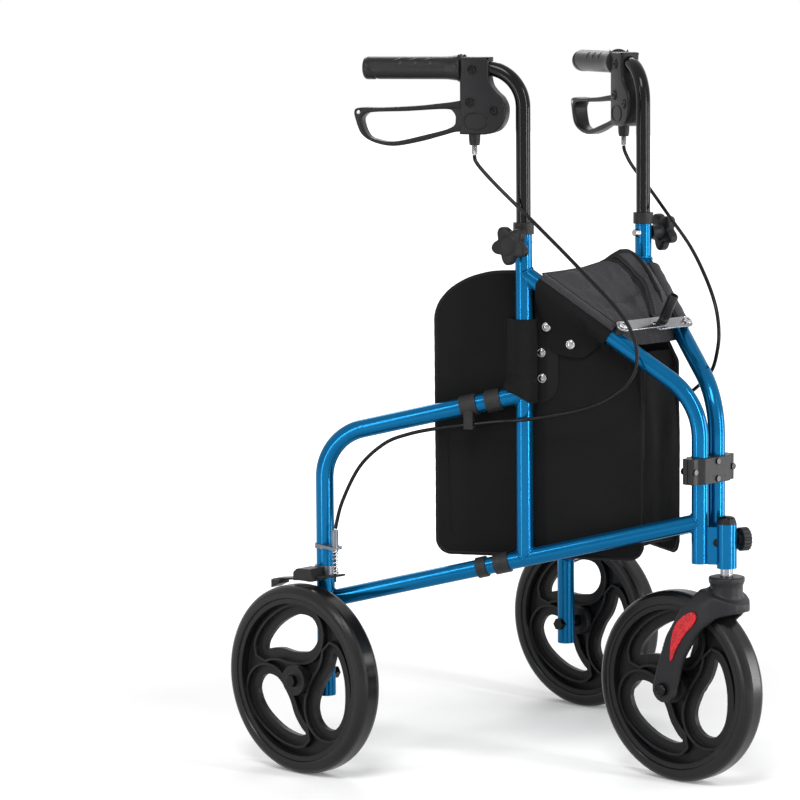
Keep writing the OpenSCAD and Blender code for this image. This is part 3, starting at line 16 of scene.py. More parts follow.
import bpy
from mathutils import Matrix, Vector, noise
from mathutils.geometry import tessellate_polygon
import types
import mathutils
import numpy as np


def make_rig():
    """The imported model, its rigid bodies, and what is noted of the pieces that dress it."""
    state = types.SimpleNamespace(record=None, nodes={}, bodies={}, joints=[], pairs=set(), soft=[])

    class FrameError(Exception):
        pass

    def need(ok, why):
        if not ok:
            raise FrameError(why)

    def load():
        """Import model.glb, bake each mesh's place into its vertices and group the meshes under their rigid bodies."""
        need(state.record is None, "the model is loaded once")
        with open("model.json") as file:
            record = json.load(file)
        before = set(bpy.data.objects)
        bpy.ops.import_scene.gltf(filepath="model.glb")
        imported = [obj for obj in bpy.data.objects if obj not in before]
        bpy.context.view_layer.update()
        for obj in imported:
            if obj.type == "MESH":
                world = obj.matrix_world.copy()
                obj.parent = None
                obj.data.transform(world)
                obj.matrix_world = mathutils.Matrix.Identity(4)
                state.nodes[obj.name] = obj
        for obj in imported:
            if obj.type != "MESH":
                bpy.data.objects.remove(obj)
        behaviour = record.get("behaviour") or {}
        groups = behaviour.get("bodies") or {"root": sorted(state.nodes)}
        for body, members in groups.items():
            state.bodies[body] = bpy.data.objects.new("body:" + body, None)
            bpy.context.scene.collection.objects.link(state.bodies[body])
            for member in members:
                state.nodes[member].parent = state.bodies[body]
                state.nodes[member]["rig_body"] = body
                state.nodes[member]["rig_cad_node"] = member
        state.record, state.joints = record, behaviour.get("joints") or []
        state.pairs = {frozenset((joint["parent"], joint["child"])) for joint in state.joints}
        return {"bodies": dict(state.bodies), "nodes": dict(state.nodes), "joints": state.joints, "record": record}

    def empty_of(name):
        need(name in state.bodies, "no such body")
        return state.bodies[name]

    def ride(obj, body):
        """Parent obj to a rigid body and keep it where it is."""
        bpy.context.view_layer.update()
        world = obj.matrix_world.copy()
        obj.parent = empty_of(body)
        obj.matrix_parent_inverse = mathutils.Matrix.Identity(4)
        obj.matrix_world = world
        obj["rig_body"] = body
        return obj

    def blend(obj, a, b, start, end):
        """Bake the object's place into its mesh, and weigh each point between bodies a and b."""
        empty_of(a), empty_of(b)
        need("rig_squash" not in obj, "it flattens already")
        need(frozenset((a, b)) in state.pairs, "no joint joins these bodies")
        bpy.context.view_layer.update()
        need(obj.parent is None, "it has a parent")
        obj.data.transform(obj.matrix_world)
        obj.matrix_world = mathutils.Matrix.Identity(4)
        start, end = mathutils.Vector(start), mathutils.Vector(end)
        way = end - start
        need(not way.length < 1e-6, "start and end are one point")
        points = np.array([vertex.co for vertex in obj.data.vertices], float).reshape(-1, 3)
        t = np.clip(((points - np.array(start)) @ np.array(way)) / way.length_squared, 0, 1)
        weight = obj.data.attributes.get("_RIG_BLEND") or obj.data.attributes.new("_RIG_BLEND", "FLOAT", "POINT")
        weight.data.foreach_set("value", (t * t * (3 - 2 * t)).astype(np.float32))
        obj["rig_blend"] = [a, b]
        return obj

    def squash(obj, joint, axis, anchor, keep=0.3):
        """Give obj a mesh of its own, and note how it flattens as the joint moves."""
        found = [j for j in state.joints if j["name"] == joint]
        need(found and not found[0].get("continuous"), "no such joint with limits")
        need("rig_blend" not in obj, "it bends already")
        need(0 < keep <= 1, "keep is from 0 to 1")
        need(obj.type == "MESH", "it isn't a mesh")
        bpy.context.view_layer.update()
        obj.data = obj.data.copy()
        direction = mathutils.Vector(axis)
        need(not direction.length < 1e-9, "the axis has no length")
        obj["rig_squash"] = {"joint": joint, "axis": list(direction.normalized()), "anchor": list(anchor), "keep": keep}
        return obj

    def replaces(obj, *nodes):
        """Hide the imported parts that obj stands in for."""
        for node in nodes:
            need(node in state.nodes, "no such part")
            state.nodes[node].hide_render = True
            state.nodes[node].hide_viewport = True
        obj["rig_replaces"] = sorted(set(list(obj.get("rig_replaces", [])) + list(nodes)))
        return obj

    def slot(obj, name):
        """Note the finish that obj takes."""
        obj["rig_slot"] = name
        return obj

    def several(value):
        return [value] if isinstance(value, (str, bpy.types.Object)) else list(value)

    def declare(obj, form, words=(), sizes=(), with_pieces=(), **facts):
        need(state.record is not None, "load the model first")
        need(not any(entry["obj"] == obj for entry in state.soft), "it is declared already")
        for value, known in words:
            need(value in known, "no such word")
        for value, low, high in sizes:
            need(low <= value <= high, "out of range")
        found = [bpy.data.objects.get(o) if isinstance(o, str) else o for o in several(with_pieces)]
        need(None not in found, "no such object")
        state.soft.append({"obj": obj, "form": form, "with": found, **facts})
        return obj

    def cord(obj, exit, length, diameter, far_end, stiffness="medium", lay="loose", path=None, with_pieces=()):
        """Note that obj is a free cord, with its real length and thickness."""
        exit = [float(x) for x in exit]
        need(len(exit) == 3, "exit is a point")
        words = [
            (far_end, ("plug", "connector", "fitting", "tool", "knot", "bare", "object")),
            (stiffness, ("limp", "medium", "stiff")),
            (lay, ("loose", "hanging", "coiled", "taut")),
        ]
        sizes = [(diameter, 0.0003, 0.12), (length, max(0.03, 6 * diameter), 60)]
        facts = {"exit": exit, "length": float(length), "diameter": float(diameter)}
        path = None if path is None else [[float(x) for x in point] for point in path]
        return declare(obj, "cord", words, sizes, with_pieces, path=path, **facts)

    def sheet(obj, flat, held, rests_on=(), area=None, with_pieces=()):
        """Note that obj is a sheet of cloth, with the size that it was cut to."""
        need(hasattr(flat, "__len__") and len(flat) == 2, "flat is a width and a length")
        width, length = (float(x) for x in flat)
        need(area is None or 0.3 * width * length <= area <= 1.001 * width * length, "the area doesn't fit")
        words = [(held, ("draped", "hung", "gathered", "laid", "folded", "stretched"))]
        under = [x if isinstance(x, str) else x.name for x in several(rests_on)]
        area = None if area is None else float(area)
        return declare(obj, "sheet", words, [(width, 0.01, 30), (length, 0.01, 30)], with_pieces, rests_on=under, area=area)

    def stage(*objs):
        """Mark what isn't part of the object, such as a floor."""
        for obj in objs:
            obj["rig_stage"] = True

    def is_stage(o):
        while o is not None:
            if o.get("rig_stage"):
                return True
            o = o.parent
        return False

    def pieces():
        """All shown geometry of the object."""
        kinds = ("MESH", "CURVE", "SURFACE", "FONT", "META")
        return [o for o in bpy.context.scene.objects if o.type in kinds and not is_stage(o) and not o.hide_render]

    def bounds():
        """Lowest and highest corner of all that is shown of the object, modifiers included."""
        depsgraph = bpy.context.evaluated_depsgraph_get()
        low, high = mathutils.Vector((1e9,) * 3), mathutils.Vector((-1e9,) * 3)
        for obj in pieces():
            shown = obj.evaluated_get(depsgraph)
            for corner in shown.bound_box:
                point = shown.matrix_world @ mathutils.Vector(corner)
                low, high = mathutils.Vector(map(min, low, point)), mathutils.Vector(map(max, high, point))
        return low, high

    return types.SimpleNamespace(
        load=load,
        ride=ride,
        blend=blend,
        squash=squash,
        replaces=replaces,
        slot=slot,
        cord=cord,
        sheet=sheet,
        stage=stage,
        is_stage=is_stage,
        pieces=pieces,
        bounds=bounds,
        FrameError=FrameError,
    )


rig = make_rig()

LOG = logging.getLogger("rollator")
MM = 0.001
Point = Sequence[float]
Mapper = Callable[[Point], Vector]
SIZE_FILE = "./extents.json"


class Side(Enum):
    """The two side frames; the value is the sign of their Y."""

    RIGHT = -1
    LEFT = 1

    @property
    def word(self) -> str:
        """Name of the side as nodes and bodies spell it."""
        return self.name.lower()


class Texture(Enum):
    """Kinds of surface detail that a finish can carry."""

    FLAKE = "metal flakes under lacquer"
    GRAIN = "moulded grain"
    WEAVE = "woven threads"
    PRISM = "reflector cells"


BUMP_REACH = 0.0006
GLOSS_SWING = 0.07
DRIFT_SCALE = 22.0
# Painted shade of the weave: how much the colour grows with thread height, and the share left down in the gaps between
# threads.
WEAVE_PAINTED_SHADE = (0.55, 0.6)
CELL_SWING = {Texture.FLAKE: 0.25, Texture.PRISM: 0.7}


@dataclass(frozen=True)
class Stance:
    """Sizes of the frame that the dressing needs, in millimetres and degrees."""

    splay: float = 26.7
    post_y: float = 17.0
    upright_u: float = 232.0
    leg_u: float = 504.0
    head_x: float = 30.0
    trail: float = 75.0
    tube_r: float = 11.1
    rear_r: float = 12.0
    bar_corner_z: float = 501.0
    bar_joint_z: float = 662.0
    rear_joint_z: float = 505.0
    lower_front_z: float = 346.0
    lower_rear_z: float = 224.0
    grip_z: float = 925.0
    clamp_z: float = 700.0

    @property
    def post_x(self) -> float:
        """Distance of the posts ahead of the origin."""
        return (self.leg_u * math.cos(math.radians(self.splay)) - self.head_x + self.trail) / 2

    @property
    def bar_rise(self) -> float:
        """Rise of a front bar for each millimetre rearward."""
        return (self.bar_joint_z - self.bar_corner_z) / self.upright_u

    def bar_z(self, u: float) -> float:
        """Height of a front bar's axis."""
        return self.bar_corner_z + u * self.bar_rise

    def lower_z(self, u: float) -> float:
        """Height of a lower bar's axis."""
        return self.lower_front_z + (self.lower_rear_z - self.lower_front_z) * u / self.leg_u


@dataclass(frozen=True)
class SideFrame:
    """One side frame's plane."""

    side: Side
    stance: Stance

    def at(self, p: Point) -> Vector:
        """Carry a side frame point into the shared frame.

        Args:
            p: rearward, outward and upward distance in millimetres.

        Returns:
            The point in metres.
        """
        a = math.radians(self.stance.splay)
        x = self.stance.post_x - p[0] * math.cos(a) + p[1] * math.sin(a)
        y = self.side.value * (self.stance.post_y + p[0] * math.sin(a) + p[1] * math.cos(a))
        return Vector((x, y, p[2])) * MM

    @property
    def mirrored(self) -> bool:
        """Whether the mapping turns faces inside out."""
        return self.side is Side.LEFT

    def leg(self, p: Point) -> Vector:
        """Carry a point given from the rear leg's axis, with x straight back and y straight out."""
        foot = self.at((self.stance.leg_u, 0, 0))
        return foot + Vector((-p[0], self.side.value * p[1], p[2])) * MM


def shared(p: Point) -> Vector:
    """Carry a shared frame point from millimetres to metres."""
    return Vector(p) * MM


def arc(first: float, sweep: float, steps: int) -> list[float]:
    """Angles along an arc, with both its ends."""
    return [first + sweep * k / steps for k in range(steps + 1)]


def circle(count: int) -> list[float]:
    """Angles of points spread evenly round a circle."""
    return [2 * math.pi * k / count for k in range(count)]


def outward(spot: Point, sign: int = 1) -> Matrix:
    """Stand a local z axis at a spot, outward for sign 1 and inward for -1."""
    return Matrix.Translation(spot) @ Matrix.Rotation(-sign * math.pi / 2, 4, "X")


def lerp(a: float, b: float, t: float) -> float:
    """Blend two numbers."""
    return a + (b - a) * t


def smooth(t: float) -> float:
    """Ease a share between 0 and 1."""
    t = min(max(t, 0.0), 1.0)
    return t * t * (3 - 2 * t)


def hump(x: float, height: float, middle: float, width: float) -> float:
    """Height of a round hump at x."""
    return height * math.exp(-(((x - middle) / width) ** 2))


def table_at(table: Sequence[tuple[float, float]], x: float) -> float:
    """Read a table of pairs with straight lines between them.

    Args:
        table: pairs in rising order of their first number.
        x: where to read it.

    Returns:
        The blended second number.
    """
    for (x0, y0), (x1, y1) in zip(table, table[1:]):
        if x <= x1:
            return lerp(y0, y1, min(max((x - x0) / (x1 - x0), 0.0), 1.0))
    return table[-1][1]


def spline(points: Sequence[Vector], steps: int, closed: bool = False) -> list[Vector]:
    """Run a smooth curve through points.

    Args:
        points: the points it passes.
        steps: how many pieces each gap is cut into.
        closed: whether the curve returns to its start.

    Returns:
        Points along the curve.
    """
    n = len(points)
    spans = n if closed else n - 1
    made = []
    for i in range(spans):
        around = [i - 1, i, i + 1, i + 2]
        a, b, c, d = (points[k % n] if closed else points[min(max(k, 0), n - 1)] for k in around)
        for k in range(steps):
            t = k / steps
            made.append(
                0.5
                * (2 * b + (c - a) * t + (2 * a - 5 * b + 4 * c - d) * t * t + (3 * b - a - 3 * c + d) * t**3)
            )
    return made if closed else [*made, points[-1].copy()]


def rounded(corners: Sequence[tuple[float, float, float]], steps: int = 6) -> list[Vector]:
    """Round the corners of a flat outline.

    Args:
        corners: two coordinates and a radius each.
        steps: pieces in each arc.

    Returns:
        The outline's points.
    """
    made = []
    n = len(corners)
    for i, (x, y, r) in enumerate(corners):
        b = Vector((x, y))
        if r <= 0:
            made.append(b)
            continue
        u = (Vector(corners[i - 1][:2]) - b).normalized()
        w = (Vector(corners[(i + 1) % n][:2]) - b).normalized()
        half = math.acos(max(-1.0, min(1.0, u.dot(w)))) / 2
        centre = b + (u + w).normalized() * r / math.sin(half)
        start = b + u * r / math.tan(half) - centre
        end = b + w * r / math.tan(half) - centre
        first = math.atan2(start.y, start.x)
        sweep = (math.atan2(end.y, end.x) - first + 3 * math.pi) % (2 * math.pi) - math.pi
        for k in range(steps + 1):
            a = first + sweep * k / steps
            made.append(centre + r * Vector((math.cos(a), math.sin(a))))
    return made


class Graph:
    """Short hand for adding linked nodes to one tree."""

    def __init__(self, tree: bpy.types.NodeTree) -> None:
        """Keep the tree that nodes go into."""
        self.tree = tree

    def add(self, kind: str, inputs: dict | None = None, **settings: object) -> bpy.types.Node:
        """Add a node.

        Args:
            kind: Blender's name of the node type.
            inputs: values or sockets by input name or number.
            settings: attributes of the node.

        Returns:
            The node.
        """
        node = self.tree.nodes.new(kind)
        for name, value in settings.items():
            setattr(node, name, value)
        self.fill(node, inputs or {})
        return node

    def fill(self, node: bpy.types.Node, values: dict) -> None:
        """Set or link a node's inputs.

        Args:
            node: the node.
            values: values or sockets by input name or number.
        """
        for name, value in values.items():
            if isinstance(value, bpy.types.NodeSocket):
                self.tree.links.new(value, node.inputs[name])
            else:
                node.inputs[name].default_value = value

    def group(self, tree: bpy.types.NodeTree, values: dict) -> bpy.types.Node:
        """Add a node group with its inputs."""
        return self.add("ShaderNodeGroup", values, node_tree=tree)

    def place(self) -> bpy.types.NodeSocket:
        """Give the piece's own coordinates."""
        return self.add("ShaderNodeTexCoord").outputs["Object"]

    def scaled(self, vector: bpy.types.NodeSocket, factor: bpy.types.NodeSocket) -> bpy.types.NodeSocket:
        """Scale a vector or a colour."""
        return self.add("ShaderNodeVectorMath", {0: vector, "Scale": factor}, operation="SCALE").outputs[0]

    def seen(self) -> bpy.types.NodeSocket:
        """Give 1 to what the camera, reflections and clear pieces see, and 0 to the light that falls."""
        path = self.add("ShaderNodeLightPath")
        both = self.math("MAXIMUM", path.outputs["Is Camera Ray"], path.outputs["Is Glossy Ray"])
        return self.math("MAXIMUM", both, path.outputs["Is Transmission Ray"])

    def math(self, operation: str, *values: object) -> bpy.types.NodeSocket:
        """Add a Math node and give its result."""
        node = self.add("ShaderNodeMath", dict(enumerate(values)), operation=operation)
        return node.outputs[0]


class Effects:
    """Shader node groups that several finishes share, each built once."""

    FLOAT = "NodeSocketFloat"
    COLOR = "NodeSocketColor"
    VECTOR = "NodeSocketVector"
    GLOSS_SCALE = 38.0
    PIT_SHARE = 0.6
    WEAR_SCALE = 160.0
    WEAR_EDGE = (0.53, 0.62)

    def __init__(self) -> None:
        """Build every group."""
        self.drift = self._drift()
        self.grain = self._grain()
        self.weave = self._weave()
        self.cells = self._cells()
        self.soft_edge = self._soft_edge()
        self.wear = self._wear()

    @staticmethod
    def _open(name: str, inputs: dict, outputs: dict) -> tuple[Graph, bpy.types.Node, bpy.types.Node]:
        """Start a group with named sockets.

        Args:
            name: the group's name.
            inputs: socket types by input name.
            outputs: socket types by output name.

        Returns:
            Its graph, input node and output node.
        """
        tree = bpy.data.node_groups.new(name, "ShaderNodeTree")
        for label, kind in inputs.items():
            tree.interface.new_socket(label, in_out="INPUT", socket_type=kind)
        for label, kind in outputs.items():
            tree.interface.new_socket(label, in_out="OUTPUT", socket_type=kind)
        graph = Graph(tree)
        return graph, graph.add("NodeGroupInput"), graph.add("NodeGroupOutput")

    def _drift(self) -> bpy.types.NodeTree:
        """Slow drift of a colour's brightness over a surface."""
        kinds = {"Color": self.COLOR, "Amount": self.FLOAT, "Scale": self.FLOAT}
        g, source, out = self._open("tone_drift", kinds, {"Color": self.COLOR})
        scale = source.outputs["Scale"]
        cloud = g.add("ShaderNodeTexNoise", {"Vector": g.place(), "Scale": scale, "Detail": 4.0})
        swing = g.math("SUBTRACT", cloud.outputs[0], 0.5)
        factor = g.math("MULTIPLY_ADD", swing, source.outputs["Amount"], 1.0)
        g.fill(out, {"Color": g.scaled(source.outputs["Color"], factor)})
        return g.tree

    def _grain(self) -> bpy.types.NodeTree:
        """Fine moulded grain as a height, with a slower change of gloss."""
        g, source, out = self._open(
            "moulded_grain", {"Scale": self.FLOAT}, {"Height": self.FLOAT, "Gloss": self.FLOAT}
        )
        place, scale = g.place(), source.outputs["Scale"]
        fine = g.add("ShaderNodeTexNoise", {"Vector": place, "Scale": scale, "Detail": 2.0})
        pits = g.add("ShaderNodeTexVoronoi", {"Vector": place, "Scale": scale})
        slow = g.add("ShaderNodeTexNoise", {"Vector": place, "Scale": self.GLOSS_SCALE, "Detail": 5.0})
        both = g.math("MULTIPLY_ADD", pits.outputs["Distance"], self.PIT_SHARE, fine.outputs[0])
        g.fill(out, {"Height": both, "Gloss": slow.outputs[0]})
        return g.tree

    def _weave(self) -> bpy.types.NodeTree:
        """Plain weave from a piece's own cloth coordinates."""
        g, source, out = self._open(
            "plain_weave", {"Threads": self.FLOAT}, {"Height": self.FLOAT, "Mask": self.FLOAT}
        )
        cloth = g.add("ShaderNodeUVMap", uv_map="cloth").outputs[0]
        grid = g.scaled(cloth, source.outputs["Threads"])
        axes = g.add("ShaderNodeSeparateXYZ", {0: grid})
        warp, weft = (
            g.math("ABSOLUTE", g.math("SINE", g.math("MULTIPLY", axes.outputs[k], math.pi))) for k in (0, 1)
        )
        over = g.add("ShaderNodeTexChecker", {"Vector": grid, "Scale": 1.0}).outputs["Fac"]
        under = g.math("SUBTRACT", 1.0, over)
        height = g.math("ADD", g.math("MULTIPLY", warp, over), g.math("MULTIPLY", weft, under))
        g.fill(out, {"Height": height, "Mask": over})
        return g.tree

    def _cells(self) -> bpy.types.NodeTree:
        """Random cells: metal flakes when fine, reflector prisms when coarse."""
        g, source, out = self._open(
            "cells", {"Scale": self.FLOAT}, {"Height": self.FLOAT, "Mask": self.FLOAT}
        )
        cell = g.add("ShaderNodeTexVoronoi", {"Vector": g.place(), "Scale": source.outputs["Scale"]})
        shade = g.add("ShaderNodeSeparateXYZ", {0: cell.outputs["Color"]})
        g.fill(out, {"Height": cell.outputs["Distance"], "Mask": shade.outputs[0]})
        return g.tree

    def _soft_edge(self) -> bpy.types.NodeTree:
        """Normals that roll over sharp edges, as moulded and painted ones do."""
        g, source, out = self._open("soft_edge", {"Radius": self.FLOAT}, {"Normal": self.VECTOR})
        bevel = g.add("ShaderNodeBevel", {"Radius": source.outputs["Radius"]}, samples=6)
        g.fill(out, {"Normal": bevel.outputs[0]})
        return g.tree

    def _wear(self) -> bpy.types.NodeTree:
        """Mask of rubbed edges, broken up by noise."""
        g, source, out = self._open("edge_wear", {"Amount": self.FLOAT}, {"Mask": self.FLOAT})
        point = g.add("ShaderNodeNewGeometry").outputs["Pointiness"]
        patch = g.add("ShaderNodeTexNoise", {"Vector": g.place(), "Scale": self.WEAR_SCALE, "Detail": 3.0})
        low, high = self.WEAR_EDGE
        edge = g.add("ShaderNodeMapRange", {0: point, "From Min": low, "From Max": high})
        rubbed = g.math("MULTIPLY", edge.outputs[0], patch.outputs[0])
        g.fill(out, {"Mask": g.math("MULTIPLY", rubbed, source.outputs["Amount"])})
        return g.tree


@dataclass(frozen=True)
class Finish:
    """One material's values.

    Attributes:
        name: the material's name.
        slot: the record's material slot.
        color: its plain colour.
        rough: middle roughness.
        metallic: metal share.
        coat: clear lacquer weight.
        specular: specular level.
        tint: tint of the reflections.
        sheen: fibre sheen.
        texture: the kind of detail.
        pitch: detail size, as repeats a metre.
        depth: bump strength.
        drift: how far the tone drifts.
        edge: radius of rolled edges in metres.
        wear: how far edges are rubbed.
    """

    name: str
    slot: str
    color: tuple[float, float, float]
    rough: float
    metallic: float = 0.0
    coat: float = 0.0
    specular: float = 0.5
    tint: tuple[float, float, float] = (1.0, 1.0, 1.0)
    sheen: float = 0.0
    texture: Texture = Texture.GRAIN
    pitch: float = 1500.0
    depth: float = 0.08
    drift: float = 0.2
    edge: float = 0.0
    wear: float = 0.0

    def material(self, effects: Effects) -> bpy.types.Material:
        """Build the material.

        Args:
            effects: the shared node groups.

        Returns:
            The material.
        """
        made = bpy.data.materials.new(self.name)
        made.use_nodes = True
        made.diffuse_color = (*self.color, 1.0)
        g = Graph(made.node_tree)
        shader = made.node_tree.nodes["Principled BSDF"]
        color, height, gloss = self._detail(g, effects)
        if self.wear > 0:
            worn = g.group(effects.wear, {"Amount": self.wear})
            pale = (*(min(1.0, 0.12 + 1.6 * c) for c in self.color), 1.0)
            mixed = g.add("ShaderNodeMix", {0: worn.outputs[0], 6: color, 7: pale}, data_type="RGBA")
            color = mixed.outputs[2]
        low, high = max(0.02, self.rough - GLOSS_SWING), min(1.0, self.rough + GLOSS_SWING)
        span = g.add("ShaderNodeMapRange", {0: gloss, "To Min": low, "To Max": high})
        bump = g.add("ShaderNodeBump", {"Height": height, "Strength": self.depth, "Distance": BUMP_REACH})
        if self.edge > 0:
            rolled = g.group(effects.soft_edge, {"Radius": self.edge})
            g.fill(bump, {"Normal": rolled.outputs[0]})
        g.fill(shader, {
            "Base Color": color, "Roughness": span.outputs[0], "Normal": bump.outputs[0],
            "Metallic": self.metallic, "Coat Weight": self.coat, "Coat Roughness": 0.06,
            "Specular IOR Level": self.specular, "Specular Tint": (*self.tint, 1.0),
            "Sheen Weight": self.sheen, "Sheen Roughness": 0.4,
        })
        return made

    def _detail(self, g: Graph, effects: Effects) -> tuple[bpy.types.NodeSocket, ...]:
        """Add the texture's nodes.

        Args:
            g: the material's graph.
            effects: the shared node groups.

        Returns:
            Sockets for the colour, the bump's height and the gloss.
        """
        plain = (*self.color, 1.0)
        tone = g.group(effects.drift, {"Color": plain, "Amount": self.drift, "Scale": DRIFT_SCALE})
        grain = g.group(effects.grain, {"Scale": self.pitch})
        color, height = tone.outputs[0], grain.outputs["Height"]
        if self.texture is Texture.WEAVE:
            height = g.group(effects.weave, {"Threads": self.pitch}).outputs["Height"]
            # The colour darkens with the threads' height, deepest in the gaps between them: painted shade.
            color = g.scaled(color, g.math("MULTIPLY_ADD", height, *WEAVE_PAINTED_SHADE))
        elif self.texture in CELL_SWING:
            cell = g.group(effects.cells, {"Scale": self.pitch})
            swing = CELL_SWING[self.texture]
            color = g.scaled(color, g.math("MULTIPLY_ADD", cell.outputs["Mask"], swing, 1.0 - swing / 2))
            if self.texture is Texture.PRISM:
                height = cell.outputs["Height"]
        return color, height, grain.outputs["Gloss"]


BLUE = Finish(
    "blue_lacquer", "blue_paint", (0.002, 0.1, 0.238), 0.15, metallic=0.64, specular=0.2,
    tint=(0.7, 0.9, 1.0), texture=Texture.FLAKE, pitch=2600.0, depth=0.02, drift=0.1,
)
BLACK_GLOSS = Finish(
    "black_lacquer", "black_paint", (0.0025, 0.0025, 0.0028), 0.11, specular=0.19, depth=0.012, edge=0.0012
)
PLASTIC = Finish(
    "black_moulding", "black_plastic", (0.009, 0.009, 0.01), 0.4, specular=0.16,
    depth=0.1, edge=0.0016, wear=0.15,
)
FORK = Finish(
    "fork_moulding", "black_plastic", (0.012, 0.012, 0.0135), 0.42, specular=0.2,
    depth=0.08, edge=0.003, wear=0.1,
)
RIM = Finish(
    "rim_moulding", "rim_plastic", (0.0095, 0.0095, 0.0105), 0.4, specular=0.16,
    depth=0.07, edge=0.0014, wear=0.1,
)
TYRE = Finish(
    "tyre_moulding", "tyre_rubber", (0.006, 0.006, 0.0065), 0.24, specular=0.26,
    depth=0.015, pitch=900.0, drift=0.1,
)
RUBBER = Finish(
    "grip_moulding", "grip_rubber", (0.008, 0.008, 0.009), 0.36, specular=0.2, depth=0.12, pitch=1900.0
)
CABLE = Finish("cable_sheath", "cable_sheath", (0.0035, 0.0035, 0.0037), 0.22, specular=0.16, depth=0.03)
ZINC = Finish(
    "bright_zinc", "zinc", (0.4, 0.4, 0.4), 0.34, metallic=1.0, depth=0.06, pitch=1200.0, edge=0.0004
)
BRACKET = Finish(
    "bracket_zinc", "zinc", (0.14, 0.15, 0.17), 0.36, metallic=1.0, depth=0.08, pitch=1200.0, edge=0.0006
)
SEAL = Finish("bearing_seal", "steel", (0.012, 0.012, 0.013), 0.42, specular=0.2, depth=0.04)
BRIGHT = Finish(
    "bright_plate", "bright_steel", (0.5, 0.5, 0.51), 0.22, metallic=1.0, depth=0.03, edge=0.0003
)
# The strong tone drift on this bright metal is painted reflection: bright and dark mottling over the plates, bolts,
# snaps and adjusters stands in for what their surface reflects.
LINK = Finish(
    "link_plate", "bright_steel", (0.27, 0.27, 0.28), 0.22, metallic=1.0, depth=0.1, pitch=700.0, drift=0.9,
    edge=0.0004,
)
RED = Finish(
    "reflector_lens", "reflector_red", (0.5, 0.004, 0.012), 0.18, specular=0.3, coat=0.2,
    texture=Texture.PRISM, pitch=420.0, depth=0.6, drift=0.1,
)
CLOTH = Finish(
    "bag_cloth", "bag_cloth", (0.0095, 0.0095, 0.0098), 0.85, specular=0.06, sheen=0.01,
    texture=Texture.WEAVE, pitch=1100.0, depth=0.35, drift=0.25,
)
MESH = Finish(
    "lid_mesh", "lid_mesh", (0.031, 0.031, 0.0335), 0.62, specular=0.16, sheen=0.05, texture=Texture.WEAVE,
    pitch=420.0, depth=0.9, drift=0.4,
)
BINDING = Finish(
    "edge_binding", "bag_cloth", (0.006, 0.006, 0.0065), 0.62, specular=0.14, sheen=0.04,
    texture=Texture.WEAVE, pitch=800.0, depth=0.4,
)


class Palette:
    """Makes each finish's material once."""

    def __init__(self) -> None:
        """Build the shared node groups."""
        self.effects = Effects()
        self.made: dict[str, bpy.types.Material] = {}

    def get(self, finish: Finish) -> bpy.types.Material:
        """Give the material of a finish."""
        if finish.name not in self.made:
            self.made[finish.name] = finish.material(self.effects)
        return self.made[finish.name]

    def piece(
        self,
        draft: Draft,
        name: str,
        finish: Finish,
        body: str | None,
        mapper: Mapper = shared,
        flip: bool = False,
        angle: float = 40.0,
        nodes: Sequence[str] = (),
    ) -> bpy.types.Object:
        """Build a draft, put it on its body and say what it stands for.

        Args:
            draft: the drawn mesh.
            name: the piece's name.
            finish: its finish.
            body: the body it rides, or None if it is blended later.
            mapper: carries drawn points into the shared frame.
            flip: whether the mapping mirrors.
            angle: edges sharper than this stay sharp, in degrees.
            nodes: CAD nodes that it replaces.

        Returns:
            The piece.
        """
        made = draft.build(name, self.get(finish), mapper, flip, angle)
        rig.slot(made, finish.slot)
        if body:
            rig.ride(made, body)
        if nodes:
            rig.replaces(made, *nodes)
        return made

    def dress(self, node: bpy.types.Object, finish: Finish) -> None:
        """Put a finish on a CAD node."""
        node.data.materials.clear()
        node.data.materials.append(self.get(finish))


